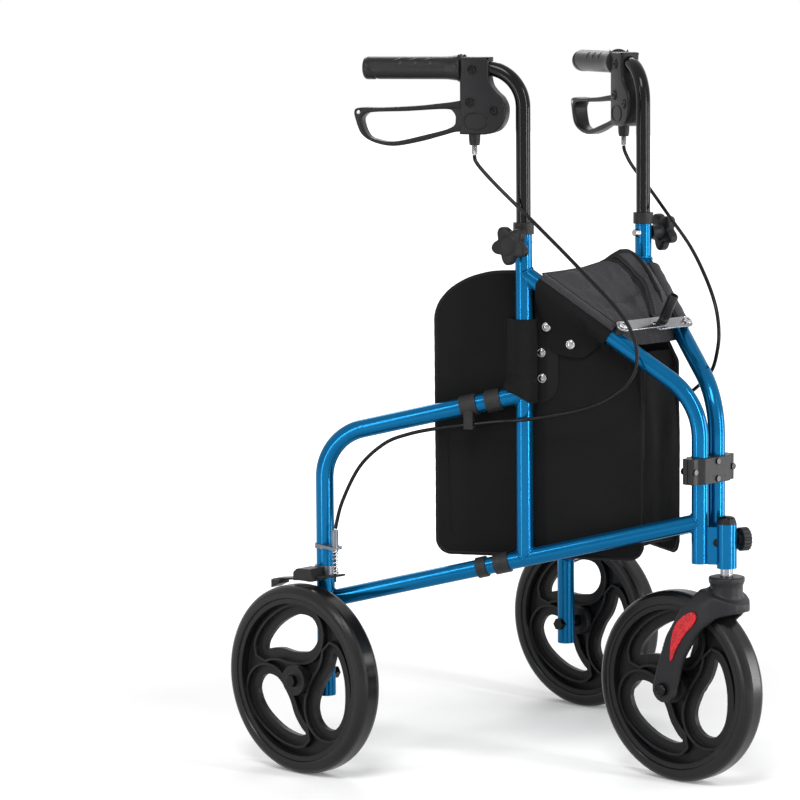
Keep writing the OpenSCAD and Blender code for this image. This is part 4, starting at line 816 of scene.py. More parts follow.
@dataclass
class Draft:
    """A mesh being drawn in millimetres."""

    points: list[Vector] = field(default_factory=list)
    faces: list[tuple[int, ...]] = field(default_factory=list)
    cloth: dict[int, tuple[float, float]] = field(default_factory=dict)

    def ring(self, points: Sequence[Point]) -> list[int]:
        """Add points and give their numbers."""
        first = len(self.points)
        self.points.extend(Vector(p) for p in points)
        return list(range(first, len(self.points)))

    def bridge(self, a: Sequence[int], b: Sequence[int], closed: bool = True) -> None:
        """Join two rows of points with four sided faces."""
        n = len(a)
        for k in range(n if closed else n - 1):
            j = (k + 1) % n
            self.faces.append((a[k], a[j], b[j], b[k]))

    def loft(self, rings: Sequence[Sequence[Point]], caps: bool = True, looped: bool = False) -> Draft:
        """Skin closed rings in order.

        Args:
            rings: closed outlines of equal length.
            caps: whether the first and last are filled.
            looped: whether the last joins the first.

        Returns:
            This draft.
        """
        rows = [self.ring(r) for r in rings]
        for a, b in zip(rows, rows[1:]):
            self.bridge(a, b)
        if looped:
            self.bridge(rows[-1], rows[0])
        elif caps:
            self.faces.append(tuple(reversed(rows[0])))
            self.faces.append(tuple(rows[-1]))
        return self

    def tube(
        self,
        path: Sequence[Vector],
        radius: float | Callable[[int], float],
        sides: int = 12,
        looped: bool = False,
        flat: float = 1.0,
        up: Point | None = None,
    ) -> Draft:
        """Run a round bar along a path.

        Args:
            path: points of its middle line.
            radius: its radius, or a function of the point's number.
            sides: points round it.
            looped: whether the path closes on itself.
            flat: share of the radius across the up direction.
            up: a direction that the section keeps to, or None to carry it along.

        Returns:
            This draft.
        """
        n = len(path)
        rings = []
        normal = Vector(up) if up else None
        for i, p in enumerate(path):
            ahead = path[(i + 1) % n] if looped else path[min(i + 1, n - 1)]
            behind = path[i - 1] if looped or i else path[0]
            t = (ahead - behind).normalized()
            if normal is None:
                normal = t.orthogonal()
            base = Vector(up) if up else normal
            normal = (base - t * base.dot(t)).normalized()
            other = t.cross(normal)
            r = radius(i) if callable(radius) else radius
            turn = circle(sides)
            rings.append([p + r * (math.cos(a) * other + flat * math.sin(a) * normal) for a in turn])
        return self.loft(rings, looped=looped)

    def turned(self, profile: Sequence[tuple[float, float]], place: Matrix, sides: int = 32) -> Draft:
        """Turn a profile round a local z axis.

        Args:
            profile: pairs of height and radius from end to end.
            place: where the axis stands.
            sides: points round it.

        Returns:
            This draft.
        """
        rings = []
        for h, r in profile:
            rings.append([place @ Vector((r * math.cos(a), r * math.sin(a), h)) for a in circle(sides)])
        return self.loft(rings)

    def plate(
        self,
        outline: Sequence[Vector],
        holes: Sequence[Sequence[Vector]],
        thick: float,
        bevel: float,
        place: Callable[[float, float, float], Vector],
        steps: int = 3,
    ) -> Draft:
        """Draw a flat plate with rolled edges.

        Args:
            outline: its edge, counterclockwise.
            holes: edges of its holes, counterclockwise too.
            thick: thickness, centred.
            bevel: radius of the rolled edges.
            place: carries the plate's x, y and height to where it goes.
            steps: pieces in each rolled edge.

        Returns:
            This draft.
        """
        tops, lows = [], []
        for number, loop in enumerate([outline, *holes]):
            n = len(loop)
            inward = []
            for i in range(n):
                t = (loop[(i + 1) % n] - loop[i - 1]).normalized()
                sign = 1.0 if number == 0 else -1.0
                inward.append(sign * Vector((-t.y, t.x)))
            rows = []
            for k in range(2 * steps + 2):
                low = k <= steps
                a = math.pi / 2 * (k if low else k - 1 - steps) / steps
                inset = bevel * (1 - math.sin(a)) if low else bevel * (1 - math.cos(a))
                h = -thick / 2 + bevel * (1 - math.cos(a)) if low else thick / 2 - bevel * (1 - math.sin(a))
                edge = [p + inset * w for p, w in zip(loop, inward)]
                rows.append(self.ring([place(p.x, p.y, h) for p in edge]))
            for a_row, b_row in zip(rows, rows[1:]):
                if number == 0:
                    self.bridge(a_row, b_row)
                else:
                    self.bridge(b_row, a_row)
            lows.append((rows[0], [p + bevel * w for p, w in zip(loop, inward)]))
            tops.append((rows[-1], [p + bevel * w for p, w in zip(loop, inward)]))
        for side, loops in ((-1, lows), (1, tops)):
            numbers = [n for row, _ in loops for n in row]
            flat = [[Vector((p.x, p.y, 0)) for p in edge] for _, edge in loops]
            spots = [p for edge in flat for p in edge]
            for tri in tessellate_polygon(flat):
                a, b, c = (spots[k] for k in tri)
                turn = (b - a).cross(c - a).z
                order = tri if turn * side > 0 else tuple(reversed(tri))
                self.faces.append(tuple(numbers[k] for k in order))
        return self

    def sheet(self, grid: Sequence[Sequence[Vector]], thick: float) -> Draft:
        """Draw a sheet of cloth with two faces and a closed rim.

        Args:
            grid: rows of points.
            thick: its thickness.

        Returns:
            This draft.
        """
        rows, cols = len(grid), len(grid[0])
        along = [0.0]
        for a, b in zip(grid, grid[1:]):
            along.append(along[-1] + (b[cols // 2] - a[cols // 2]).length * MM)
        faces: list[list[list[int]]] = []
        for sign in (1, -1):
            layer = []
            for i, row in enumerate(grid):
                across = 0.0
                numbers = []
                for j, p in enumerate(row):
                    du = grid[i][min(j + 1, cols - 1)] - grid[i][max(j - 1, 0)]
                    dv = grid[min(i + 1, rows - 1)][j] - grid[max(i - 1, 0)][j]
                    n = du.cross(dv)
                    n = n.normalized() if n.length > 1e-9 else Vector((0, 0, 1))
                    numbers.append(self.ring([p + sign * n * thick / 2])[0])
                    across += (p - row[j - 1]).length * MM if j else 0.0
                    self.cloth[numbers[-1]] = (across, along[i])
                layer.append(numbers)
            faces.append(layer)
        top, low = faces
        for i in range(rows - 1):
            self.bridge(top[i], top[i + 1], closed=False)
            self.bridge(low[i + 1], low[i], closed=False)
        rim_top = self._rim(top)
        rim_low = self._rim(low)
        self.bridge(rim_low, rim_top)
        return self

    @staticmethod
    def _rim(layer: Sequence[Sequence[int]]) -> list[int]:
        """Numbers round the edge of a grid."""
        right = [row[-1] for row in layer[1:-1]]
        left = [row[0] for row in layer[1:-1]]
        return [*layer[0], *right, *reversed(layer[-1]), *reversed(left)]

    def build(
        self, name: str, material: bpy.types.Material, mapper: Mapper, flip: bool = False, angle: float = 40.0
    ) -> bpy.types.Object:
        """Make the Blender object.

        Args:
            name: the piece's name.
            material: its material.
            mapper: carries drawn points into the shared frame.
            flip: whether the mapping mirrors.
            angle: edges sharper than this stay sharp, in degrees.

        Returns:
            The object.
        """
        mesh = bpy.data.meshes.new(name)
        faces = [tuple(reversed(f)) for f in self.faces] if flip else self.faces
        mesh.from_pydata([mapper(p) for p in self.points], [], faces)
        if self.cloth:
            layer = mesh.uv_layers.new(name="cloth")
            for loop in mesh.loops:
                layer.data[loop.index].uv = self.cloth.get(loop.vertex_index, (0.0, 0.0))
        mesh.validate()
        mesh.shade_smooth()
        mesh.set_sharp_from_angle(angle=math.radians(angle))
        mesh.materials.append(material)
        made = bpy.data.objects.new(name, mesh)
        bpy.context.scene.collection.objects.link(made)
        LOG.info("piece %s: %d faces", name, len(faces))
        return made


@dataclass
class Studio:
    """Camera at the photograph's angle, soft lamps, pale floor and backdrop."""

    lens_px: float = 3598.87
    centre_px: tuple[float, float] = (478.04, 358.88)
    frame_px: float = 800.0
    sensor: float = 36.0
    stand: tuple[float, float, float] = (3.09043, -3.594, 1.0519)
    yaw: float = 42.03
    pitch: float = 6.19
    roll: float = -0.33
    floor_half: float = 14.0
    pale: float = 0.9
    ambient: float = 0.36
    fade: tuple = (0.7, 2.6)
    glow: tuple = (0.12, 1.0)
    aim_z: float = 0.45
    lamp_specs: tuple = (
        ("key_lamp", (1.5, -2.5, 3.8), (1.6, 1.6), 96.0),
        ("right_strip", (1.9, 0.13, 0.98), (0.15, 1.9), 26.0),
        ("tread_strip", (1.25, 1.05, 0.42), (0.3, 0.8), 9.0),
        ("left_strip", (-0.17, -1.9, 0.98), (0.15, 1.9), 12.0),
        ("rear_lamp", (-2.2, 1.8, 2.8), (1.8, 1.8), 40.0),
    )

    def camera(self) -> None:
        """Place the camera."""
        data = bpy.data.cameras.new("camera")
        data.sensor_width = self.sensor
        data.lens = self.lens_px * self.sensor / self.frame_px
        data.shift_x = (self.frame_px / 2 - self.centre_px[0]) / self.frame_px
        data.shift_y = (self.centre_px[1] - self.frame_px / 2) / self.frame_px
        data.clip_end = 100.0
        yaw, pitch, roll = (math.radians(a) for a in (self.yaw, self.pitch, self.roll))
        ahead = Vector((-math.sin(yaw) * math.cos(pitch), math.cos(yaw) * math.cos(pitch), -math.sin(pitch)))
        across = ahead.cross(Vector((0, 0, 1))).normalized()
        up = across.cross(ahead)
        right = math.cos(roll) * across + math.sin(roll) * up
        top = -math.sin(roll) * across + math.cos(roll) * up
        made = bpy.data.objects.new("camera", data)
        turn = Matrix((right, top, -ahead)).transposed().to_4x4()
        made.matrix_world = Matrix.Translation(self.stand) @ turn
        bpy.context.scene.collection.objects.link(made)
        bpy.context.scene.camera = made

    def lamps(self) -> None:
        """Hang the soft lamps and light the world."""
        target = Vector((0, 0, self.aim_z))
        for name, spot, size, power in self.lamp_specs:
            data = bpy.data.lights.new(name, "AREA")
            data.shape = "RECTANGLE"
            data.size, data.size_y = size
            data.energy = power
            lamp = bpy.data.objects.new(name, data)
            lamp.location = spot
            aim = target - Vector(spot)
            if name.endswith("strip"):
                aim.z = 0.0
            lamp.rotation_euler = aim.to_track_quat("-Z", "Y").to_euler()
            bpy.context.scene.collection.objects.link(lamp)
        world = bpy.data.worlds.new("studio")
        bpy.context.scene.world = world
        world.use_nodes = True
        g = Graph(world.node_tree)
        strength = g.math("MULTIPLY_ADD", g.seen(), 1.0 - self.ambient, self.ambient)
        sky = world.node_tree.nodes["Background"]
        sky.inputs["Color"].default_value = (1.0, 1.0, 1.0, 1.0)
        world.node_tree.links.new(strength, sky.inputs["Strength"])
        bpy.context.scene.view_settings.view_transform = "Standard"

    def floor(self) -> None:
        """Lay the floor: it shows white and keeps the object's shadow."""
        half = self.floor_half
        mesh = bpy.data.meshes.new("floor")
        corners = [(-half, -half, 0), (half, -half, 0), (half, half, 0), (-half, half, 0)]
        mesh.from_pydata(corners, [], [(0, 1, 2, 3)])
        made = bpy.data.objects.new("floor", mesh)
        material = bpy.data.materials.new("floor_white")
        material.use_nodes = True
        g = Graph(material.node_tree)
        far = g.add("ShaderNodeVectorMath", {0: g.place()}, operation="LENGTH").outputs["Value"]
        near, wide = self.fade
        low, high = self.glow
        span = {0: far, "From Min": near, "From Max": wide, "To Min": low, "To Max": high}
        fade = g.add("ShaderNodeMapRange", span)
        g.fill(material.node_tree.nodes["Principled BSDF"], {
            "Base Color": (self.pale, self.pale, self.pale, 1.0), "Roughness": 0.8, "Specular IOR Level": 0.1,
            "Emission Color": (1.0, 1.0, 1.0, 1.0),
            "Emission Strength": g.math("MULTIPLY", g.seen(), fade.outputs[0]),
        })
        mesh.materials.append(material)
        bpy.context.scene.collection.objects.link(made)
        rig.stage(made)

    def build(self) -> None:
        """Set up the whole studio."""
        self.camera()
        self.lamps()
        self.floor()


@dataclass
class TubeWork:
    """Painted tubes of one side and their weld beads."""

    frame: SideFrame
    palette: Palette
    bead_r: float = 1.7
    bead_steps: int = 56
    ripple: float = 0.2
    ripple_step: float = 2.4
    rear_slope: float = -0.235
    socket_gap: float = 0.4

    def bead(self, spot: Point, run: Point, branch_r: float, main_run: Point, main_r: float) -> list[Vector]:
        """Find where a branch tube's skin meets a main tube's skin.

        Args:
            spot: crossing of the axes, as rearward and upward distance.
            run: direction of the branch away from the main tube.
            branch_r: the branch's radius.
            main_run: direction of the main tube.
            main_r: the main tube's radius.

        Returns:
            The closed line of the weld.
        """
        at = Vector((spot[0], 0, spot[1]))
        d = Vector((run[0], 0, run[1])).normalized()
        e = Vector((main_run[0], 0, main_run[1])).normalized()
        side = Vector((0, 1, 0))
        flat = d.cross(side)
        line = []
        for a in circle(self.bead_steps):
            base = branch_r * (math.cos(a) * flat + math.sin(a) * side)
            across = base - e * base.dot(e)
            step = d - e * d.dot(e)
            qa, qb = step.dot(step), 2 * across.dot(step)
            qc = across.dot(across) - main_r**2
            t = (-qb + math.sqrt(max(qb * qb - 4 * qa * qc, 0.0))) / (2 * qa)
            line.append(at + base + d * t)
        return line

    def build(self, nodes: dict[str, bpy.types.Object]) -> None:
        """Dress the tubes and lay the beads."""
        s, word = self.frame.stance, self.frame.side.word
        for part in ("upright", "front_tube", "rear_tube", "lower_bar"):
            self.palette.dress(nodes[f"{word}_{part}"], BLUE)
        up, lower = (0, 1), (s.leg_u, s.lower_rear_z - s.lower_front_z)
        joints = (
            ((s.upright_u, s.bar_joint_z), (-1, -s.bar_rise), s.tube_r, up, s.tube_r),
            ((s.upright_u, s.rear_joint_z), (1, self.rear_slope), s.rear_r, up, s.tube_r + self.socket_gap),
            ((0, s.lower_front_z), lower, s.tube_r, up, s.tube_r),
            ((s.leg_u, s.lower_rear_z), (-lower[0], -lower[1]), s.tube_r, up, s.rear_r),
            ((s.upright_u, s.lower_z(s.upright_u)), up, s.tube_r, lower, s.tube_r),
        )
        draft = Draft()
        for joint in joints:
            draft.tube(self.bead(*joint), self.swell, sides=8, looped=True)
        self.palette.piece(
            draft, f"{word}_welds", BLUE, f"{word}_frame", self.frame.at, self.frame.mirrored, angle=80
        )

    def swell(self, step: int) -> float:
        """Radius of a bead at one of its points."""
        return self.bead_r * (1 + self.ripple * math.sin(self.ripple_step * step))


@dataclass
class HandleSet:
    """Grip, brake housing, lever and height clamp of one side."""

    frame: SideFrame
    palette: Palette
    grip_front: float = 313.0
    grip_len: float = 131.0
    grip_r: float = 14.75
    flange_r: float = 18.0
    flange_t: float = 3.5
    housing_w: float = 39.0
    housing_h: float = 99.0
    housing_t: float = 26.0
    lever_loop: float = 143.0
    lever_h: float = 60.0
    lever_t: float = 9.0
    lever_flare: float = 2.4
    lever_edge: float = 1.8
    lever_top_share: float = 0.555
    pin_share: tuple = (0.955, 0.27)
    pin_profile: tuple = ((-1, 2.7), (0.3, 2.6), (0.8, 2.1), (1.1, 1.1), (1.2, 0.2))
    grip_sides: int = 96
    neck_shares: tuple = ((4.0, 1.13), (8, 1.1), (13, 1.05), (19, 1.01), (26, 1.0), (200, 1.0))
    flange_edge: float = 0.8
    band_at: float = 121.0
    band_slant: float = 7.0
    pad_spots: tuple = (44.0, 64.0, 84.0)
    pad_half: float = 6.0
    pad_width: float = 0.42
    pad_facing: float = 0.65
    pad_lift: float = 0.7
    end_round: float = 5.0
    housing_edge: float = 3.2
    screw_shares: tuple = ((0.45, 0.16), (0.36, 0.58), (1.18, 0.69))
    ring_profile: tuple = (
        (-1.5, 7.2), (0.5, 7.2), (1.1, 6.9), (1.3, 6.4), (1.1, 5.6), (-0.8, 5.3), (-1.5, 5.2)
    )
    screw_profile: tuple = ((-1, 4.9), (1.0, 4.9), (1.7, 4.4), (1.8, 2.6), (0.4, 2.4), (0.3, 0.2))
    oval_share: tuple = (0.55, 0.83)
    oval_half: tuple = (16.0, 11.0)
    boot_share: float = 0.42
    boot_profile: tuple = ((0, 7.8), (9, 7.4), (13.5, 6.9), (15.2, 6.4), (15.4, 3))
    thread_radii: tuple = (3.9, 3.2)
    thread_starts: tuple = (15.4, 15.9)
    threads: int = 9
    cable_top: float = 813.6
    knob_r: float = 26.0
    knob_h: float = 14.0
    knob_boss: float = 16.0
    knob_turn: float = 15.0
    knob_edge: float = 3.6
    knob_cap: tuple = ((-2, 12.5), (0.3, 12.5), (0.9, 11.9), (1.0, 11), (-0.6, 9.5), (-0.8, 0.4))
    outer_shares: tuple = (
        (-0.02, 0.01), (0.1, 0.05), (0.224, 0.083), (0.427, 0.132), (0.748, 0.17), (0.95, 0.17), (1.0, 0.25),
        (0.985, 0.45), (0.935, 0.74), (0.82, 0.92), (0.636, 1.0), (0.4, 0.908), (0.19, 0.776), (0.05, 0.69),
        (-0.1, 0.69), (-0.32, 0.68), (-0.39, 0.55), (-0.4, 0.35), (-0.32, 0.2), (-0.12, 0.06),
    )
    housing_shares: tuple = (
        (0.0, 0.97), (0.0, 0.75), (0.0, 0.5), (0.0, 0.25), (0.0, 0.02), (0.03, 0.0), (0.5, 0.0), (0.95, 0.0),
        (1.0, 0.02), (0.99, 0.12), (0.98, 0.24), (1.05, 0.36), (1.22, 0.45), (1.43, 0.53), (1.56, 0.66),
        (1.5, 0.83), (1.27, 0.95), (0.9, 1.0), (0.5, 1.0), (0.05, 1.0),
    )
    gap_shares: tuple = (
        (0.925, 0.47), (0.9, 0.33), (0.82, 0.27), (0.503, 0.245), (0.15, 0.2), (0.075, 0.27), (0.056, 0.42),
        (0.098, 0.594), (0.364, 0.767), (0.636, 0.9), (0.8, 0.85), (0.878, 0.75),
    )

    @property
    def housing_top(self) -> float:
        """Upper edge of the housing."""
        return self.frame.stance.grip_z + 0.95 * self.grip_r

    def finish_piece(
        self, draft: Draft, name: str, finish: Finish, body: str, *nodes: str, angle: float = 40.0
    ) -> bpy.types.Object:
        """Build a draft, put it on its body and say what it stands for.

        Args:
            draft: the drawn mesh.
            name: the piece's name without its side.
            finish: its finish.
            body: the body it rides, without its side.
            nodes: CAD nodes that it replaces, without their side.
            angle: edges sharper than this stay sharp.

        Returns:
            The piece.
        """
        word = self.frame.side.word
        return self.palette.piece(
            draft, f"{word}_{name}", finish, f"{word}_{body}", self.frame.at, self.frame.mirrored, angle,
            [f"{word}_{n}" for n in nodes],
        )

    def grip_radius(self, a: float, turn: float) -> float:
        """Radius of the grip's skin.

        Args:
            a: distance behind its front end.
            turn: angle round it, 0 outward and a right angle up.

        Returns:
            The radius.
        """
        neck = [(0, self.flange_r - self.flange_edge), (self.flange_edge, self.flange_r)]
        neck += [(self.flange_t, self.flange_r)]
        neck += [(along, share * self.grip_r) for along, share in self.neck_shares]
        r = table_at(neck, a)
        past = a - self.band_at - self.band_slant * math.sin(turn)
        r += 0.3 * smooth(past / 1.5) - 1.1 * math.exp(-((past / 1.4) ** 2))
        for middle in self.pad_spots:
            width = self.pad_width * (0.5 - (a - middle) / (2 * self.pad_half))
            for facing in (self.pad_facing, math.pi - self.pad_facing):
                off = abs((turn - facing + math.pi) % (2 * math.pi) - math.pi)
                inside = abs(a - middle) < self.pad_half and off < width
                r += self.pad_lift if inside else 0.0
        into = self.end_round - self.grip_len + a
        if into > 0:
            r -= self.end_round - math.sqrt(max(self.end_round**2 - into**2, 0.0))
        return r

    def grip(self) -> None:
        """Draw the rubber grip with its flange, neck, pads and slanted end band."""
        steps = sorted({*range(126), *[0.8, 3.5, 4.0], *[126 + 0.7 * k for k in range(8)]})
        level = self.frame.stance.grip_z
        rings = []
        for a in steps:
            skin = [(t, self.grip_radius(a, t)) for t in circle(self.grip_sides)]
            rings.append([(self.grip_front + a, r * math.cos(t), level + r * math.sin(t)) for t, r in skin])
        self.finish_piece(Draft().loft(rings), "grip_rubber", RUBBER, "handle", "grip", angle=50)

    def lever(self) -> None:
        """Draw the lever loop with rolled edges and the pin at its tip."""
        outer = spline([self.lever_spot(s) for s in reversed(self.outer_shares)], 5, closed=True)
        gap = spline([self.lever_spot(s) for s in self.gap_shares], 5, closed=True)
        draft = Draft().plate(outer, [gap], self.lever_t, self.lever_edge, self.flare, steps=4)
        tip, pin = self.lever_spot(self.pin_share), Draft()
        for sign in (-1, 1):
            face = sign * self.lever_t * self.lever_flare / 2
            pin.turned(self.pin_profile, outward((tip.x, face, tip.y), sign), 18)
        self.finish_piece(draft, "lever_loop", PLASTIC, "lever", "lever", angle=55)
        self.finish_piece(pin, "lever_pin", ZINC, "lever")

    def lever_spot(self, s: Point) -> Vector:
        """Place a share of the lever's loop."""
        top = self.housing_top - self.lever_top_share * self.housing_h
        return Vector((self.grip_front + s[0] * self.lever_loop, top - s[1] * self.lever_h))

    def flare(self, x: float, y: float, h: float) -> Vector:
        """Widen the lever's band from the housing to the tip."""
        share = (x - self.grip_front) / self.lever_loop
        wide = lerp(1.0, self.lever_flare, min(max((share - 0.1) / 0.8, 0.0), 1.0))
        return Vector((x, -h * wide, y))

    def housing_spot(self, s: Point) -> tuple[float, float]:
        """Place a share of the housing's outline."""
        return self.grip_front - s[0] * self.housing_w, self.housing_top - s[1] * self.housing_h

    def face(self, s: Point, sign: int) -> Matrix:
        """Stand a local z axis outward on one of the housing's faces."""
        u, z = self.housing_spot(s)
        return outward((u, sign * self.housing_t / 2, z), sign)

    def housing(self) -> None:
        """Draw the housing with its rolled edges and the swell over the lever's pivot."""
        edge = spline([Vector(self.housing_spot(s)) for s in self.housing_shares], 6, closed=True)
        draft = Draft().plate(
            edge, [], self.housing_t, self.housing_edge, lambda x, y, h: Vector((x, -h, y)), steps=5
        )
        self.finish_piece(draft, "housing_shell", PLASTIC, "handle", "brake_housing", angle=50)

    def fittings(self) -> None:
        """Draw the screws in their rings, the bare oval, the boot and the adjuster."""
        screws, trim = Draft(), Draft()
        for s in self.screw_shares:
            for sign in (-1, 1):
                trim.turned(self.ring_profile, self.face(s, sign), 36)
                screws.turned(self.screw_profile, self.face(s, sign), 24)
        u, z = self.housing_spot(self.oval_share)
        long, tall = self.oval_half
        for sign in (-1, 1):
            v = sign * (self.housing_t / 2 + 0.1)
            path = [Vector((u + long * math.cos(a), v, z + tall * math.sin(a))) for a in circle(64)]
            trim.tube(path, 0.9, 8, looped=True)
        self.finish_piece(trim, "housing_trim", PLASTIC, "handle", angle=60)
        self.finish_piece(screws, "housing_screws", BLACK_GLOSS, "handle", "lever_fittings")
        boot = self.grip_front - self.boot_share * self.housing_w
        foot = self.housing_top - self.housing_h + 1
        down = Matrix.Translation((boot, 0, foot)) @ Matrix.Rotation(math.pi, 4, "X")
        plug = Draft().turned(self.boot_profile, down, 28)
        self.finish_piece(plug, "cable_boot", PLASTIC, "handle")
        crest, root = self.thread_radii
        end = foot - self.cable_top
        rings = [(14, crest)]
        for k in range(self.threads):
            rise, drop = (lerp(start, end, k / self.threads) for start in self.thread_starts)
            rings += [(rise, crest), (drop, root)]
        rings += [(end - 0.2, root), (end, 2.8)]
        self.finish_piece(Draft().turned(rings, down, 24), "cable_adjuster", LINK, "handle", angle=70)

    @staticmethod
    def lobe(a: float) -> float:
        """Share of the knob's radius at an angle: five round lobes with hollows between them."""
        return 0.67 + 0.33 * (0.5 + 0.5 * math.cos(5 * a - math.pi / 3)) ** 0.7

    def knob(self) -> None:
        """Draw the five lobed knob of the height clamp."""
        s = self.frame.stance
        foot = s.tube_r + 0.5
        place = (
            Matrix.Translation((s.upright_u, 0, s.clamp_z))
            @ Matrix.Rotation(math.radians(-self.knob_turn), 4, "Z")
            @ Matrix.Rotation(-math.pi / 2, 4, "X")
        )
        outline = [self.knob_r * self.lobe(a) * Vector((math.cos(a), math.sin(a))) for a in circle(120)]
        middle = foot + self.knob_boss - 0.5 + self.knob_h / 2
        draft = Draft().plate(
            outline, [], self.knob_h, self.knob_edge, lambda x, y, h: place @ Vector((x, y, h + middle)), 5
        )
        boss = [(foot, 9.0), (foot + self.knob_boss - 3, 10.0), (foot + self.knob_boss + 1, 13.0)]
        draft.turned(boss, place, 32)
        top = middle + self.knob_h / 2
        draft.turned([(top + h, r) for h, r in self.knob_cap], place, 40)
        self.finish_piece(draft, "star_knob", PLASTIC, "knob", "clamp_knob", angle=50)

    def build(self, nodes: dict[str, bpy.types.Object]) -> None:
        """Draw the pieces and dress the nodes that stay."""
        word = self.frame.side.word
        for part, finish in (("handle_tube", BLACK_GLOSS), ("collar", PLASTIC), ("clamp_bolt", LINK)):
            self.palette.dress(nodes[f"{word}_{part}"], finish)
        self.grip()
        self.housing()
        self.lever()
        self.fittings()
        self.knob()


@dataclass
class BrakeSet:
    """Cable, spring and brake of one rear wheel."""

    frame: SideFrame
    palette: Palette
    cable_r: float = 2.5
    spring_r: float = 3.9
    wire_r: float = 0.6
    spring_x: float = -32.0
    spring_y: float = 14.5
    spring_low: float = 264.4
    spring_high: float = 295.5
    curls: int = 9
    curl_steps: int = 20
    press_keep: float = 0.95
    blend_end: tuple = (120, 22, 560)
    right_route: tuple = (
        (297, 0, 813), (295, 1, 805), (284, 6, 793), (262, 14, 773), (238, 20, 752), (217, 22, 733),
        (195, 23, 712), (172, 24, 690), (149, 24, 667), (127, 24, 645), (106, 24, 623), (89, 24, 600),
        (79, 24, 576), (77, 24, 556), (81, 24, 538), (94, 24, 519), (119, 24, 501), (150, 24, 489),
        (190, 22, 480), (232, 20, 473), (262, 14, 470), (304, 8, 464), (350, 8, 457), (386, 9, 449),
        (418, 11, 436), (450, 17, 406), (472, 25, 360), (481, 28, 324),
    )
    left_route: tuple = (
        (297, 0, 813), (295, 1, 805), (287, 5, 791), (274, 11, 776), (252, 19, 756), (196, 22, 723),
        (130, 22, 688), (82, 22, 651), (52, 22, 617), (41, 22, 586), (45, 22, 559), (64, 22, 529),
        (110, 22, 503), (146, 22, 489), (180, 21, 480), (232, 20, 473), (262, 14, 470), (304, 8, 464),
        (350, 8, 457), (386, 9, 449), (418, 11, 436), (450, 17, 406), (472, 25, 360), (481, 28, 324),
    )

    def cable(self) -> None:
        """Run the cable; its upper stretch follows the handle as that slides."""
        word = self.frame.side.word
        route = self.right_route if self.frame.side is Side.RIGHT else self.left_route
        path = spline([Vector(p) for p in route], 6)
        draft = Draft().tube(path, self.cable_r, 12)
        at, node = self.frame.at, f"{word}_brake_cable"
        piece = self.palette.piece(draft, f"{word}_cable", CABLE, None, at, self.frame.mirrored, 60, [node])
        line = [at(p) for p in path]
        length = sum((b - a).length for a, b in zip(line, line[1:]))
        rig.blend(piece, f"{word}_handle", f"{word}_frame", start=line[0], end=at(self.blend_end))
        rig.cord(
            piece, exit=line[0], length=length, diameter=2 * self.cable_r * MM, far_end="object",
            stiffness="medium", lay="loose", path=line,
        )

    def spring(self) -> None:
        """Wind the return spring, which shortens as the brake is pressed."""
        word = self.frame.side.word
        last = self.curls * self.curl_steps
        low, high = self.spring_low + self.wire_r, self.spring_high - self.wire_r
        middle, r = Vector((self.spring_x, self.spring_y, 0)), self.spring_r
        path = []
        for k in range(last + 1):
            a = 2 * math.pi * k / self.curl_steps
            z = lerp(low, high, smooth(k / last * 1.1 - 0.05))
            path.append(middle + Vector((r * math.cos(a), r * math.sin(a), z)))
        draft = Draft().tube(path, self.wire_r, 8, up=(0, 0, 1))
        piece = self.palette.piece(
            draft, f"{word}_spring_coil", BRIGHT, f"{word}_frame", self.frame.leg,
            not self.frame.mirrored, 80, [f"{word}_brake_spring"],
        )
        top = self.frame.leg((self.spring_x, self.spring_y, self.spring_high))
        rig.squash(piece, f"{word}_brake_press", axis=(0, 0, 1), anchor=top, keep=self.press_keep)

    def build(self, nodes: dict[str, bpy.types.Object]) -> None:
        """Draw the pieces and dress the nodes that stay."""
        word = self.frame.side.word
        for part, finish in (
            ("brake_bracket", BRACKET), ("brake_arm", PLASTIC), ("tube_clips", PLASTIC),
            ("axle", BLACK_GLOSS),
        ):
            self.palette.dress(nodes[f"{word}_{part}"], finish)
        self.cable()
        self.spring()


@dataclass
class Wheel:
    """One wheel's rim, tyre and bearings."""

    name: str
    palette: Palette

    def build(self, nodes: dict[str, bpy.types.Object]) -> None:
        """Dress the wheel's nodes."""
        self.palette.dress(nodes[f"{self.name}_rim"], RIM)
        self.palette.dress(nodes[f"{self.name}_tyre"], TYRE)
        self.palette.dress(nodes[f"{self.name}_bearings"], SEAL)


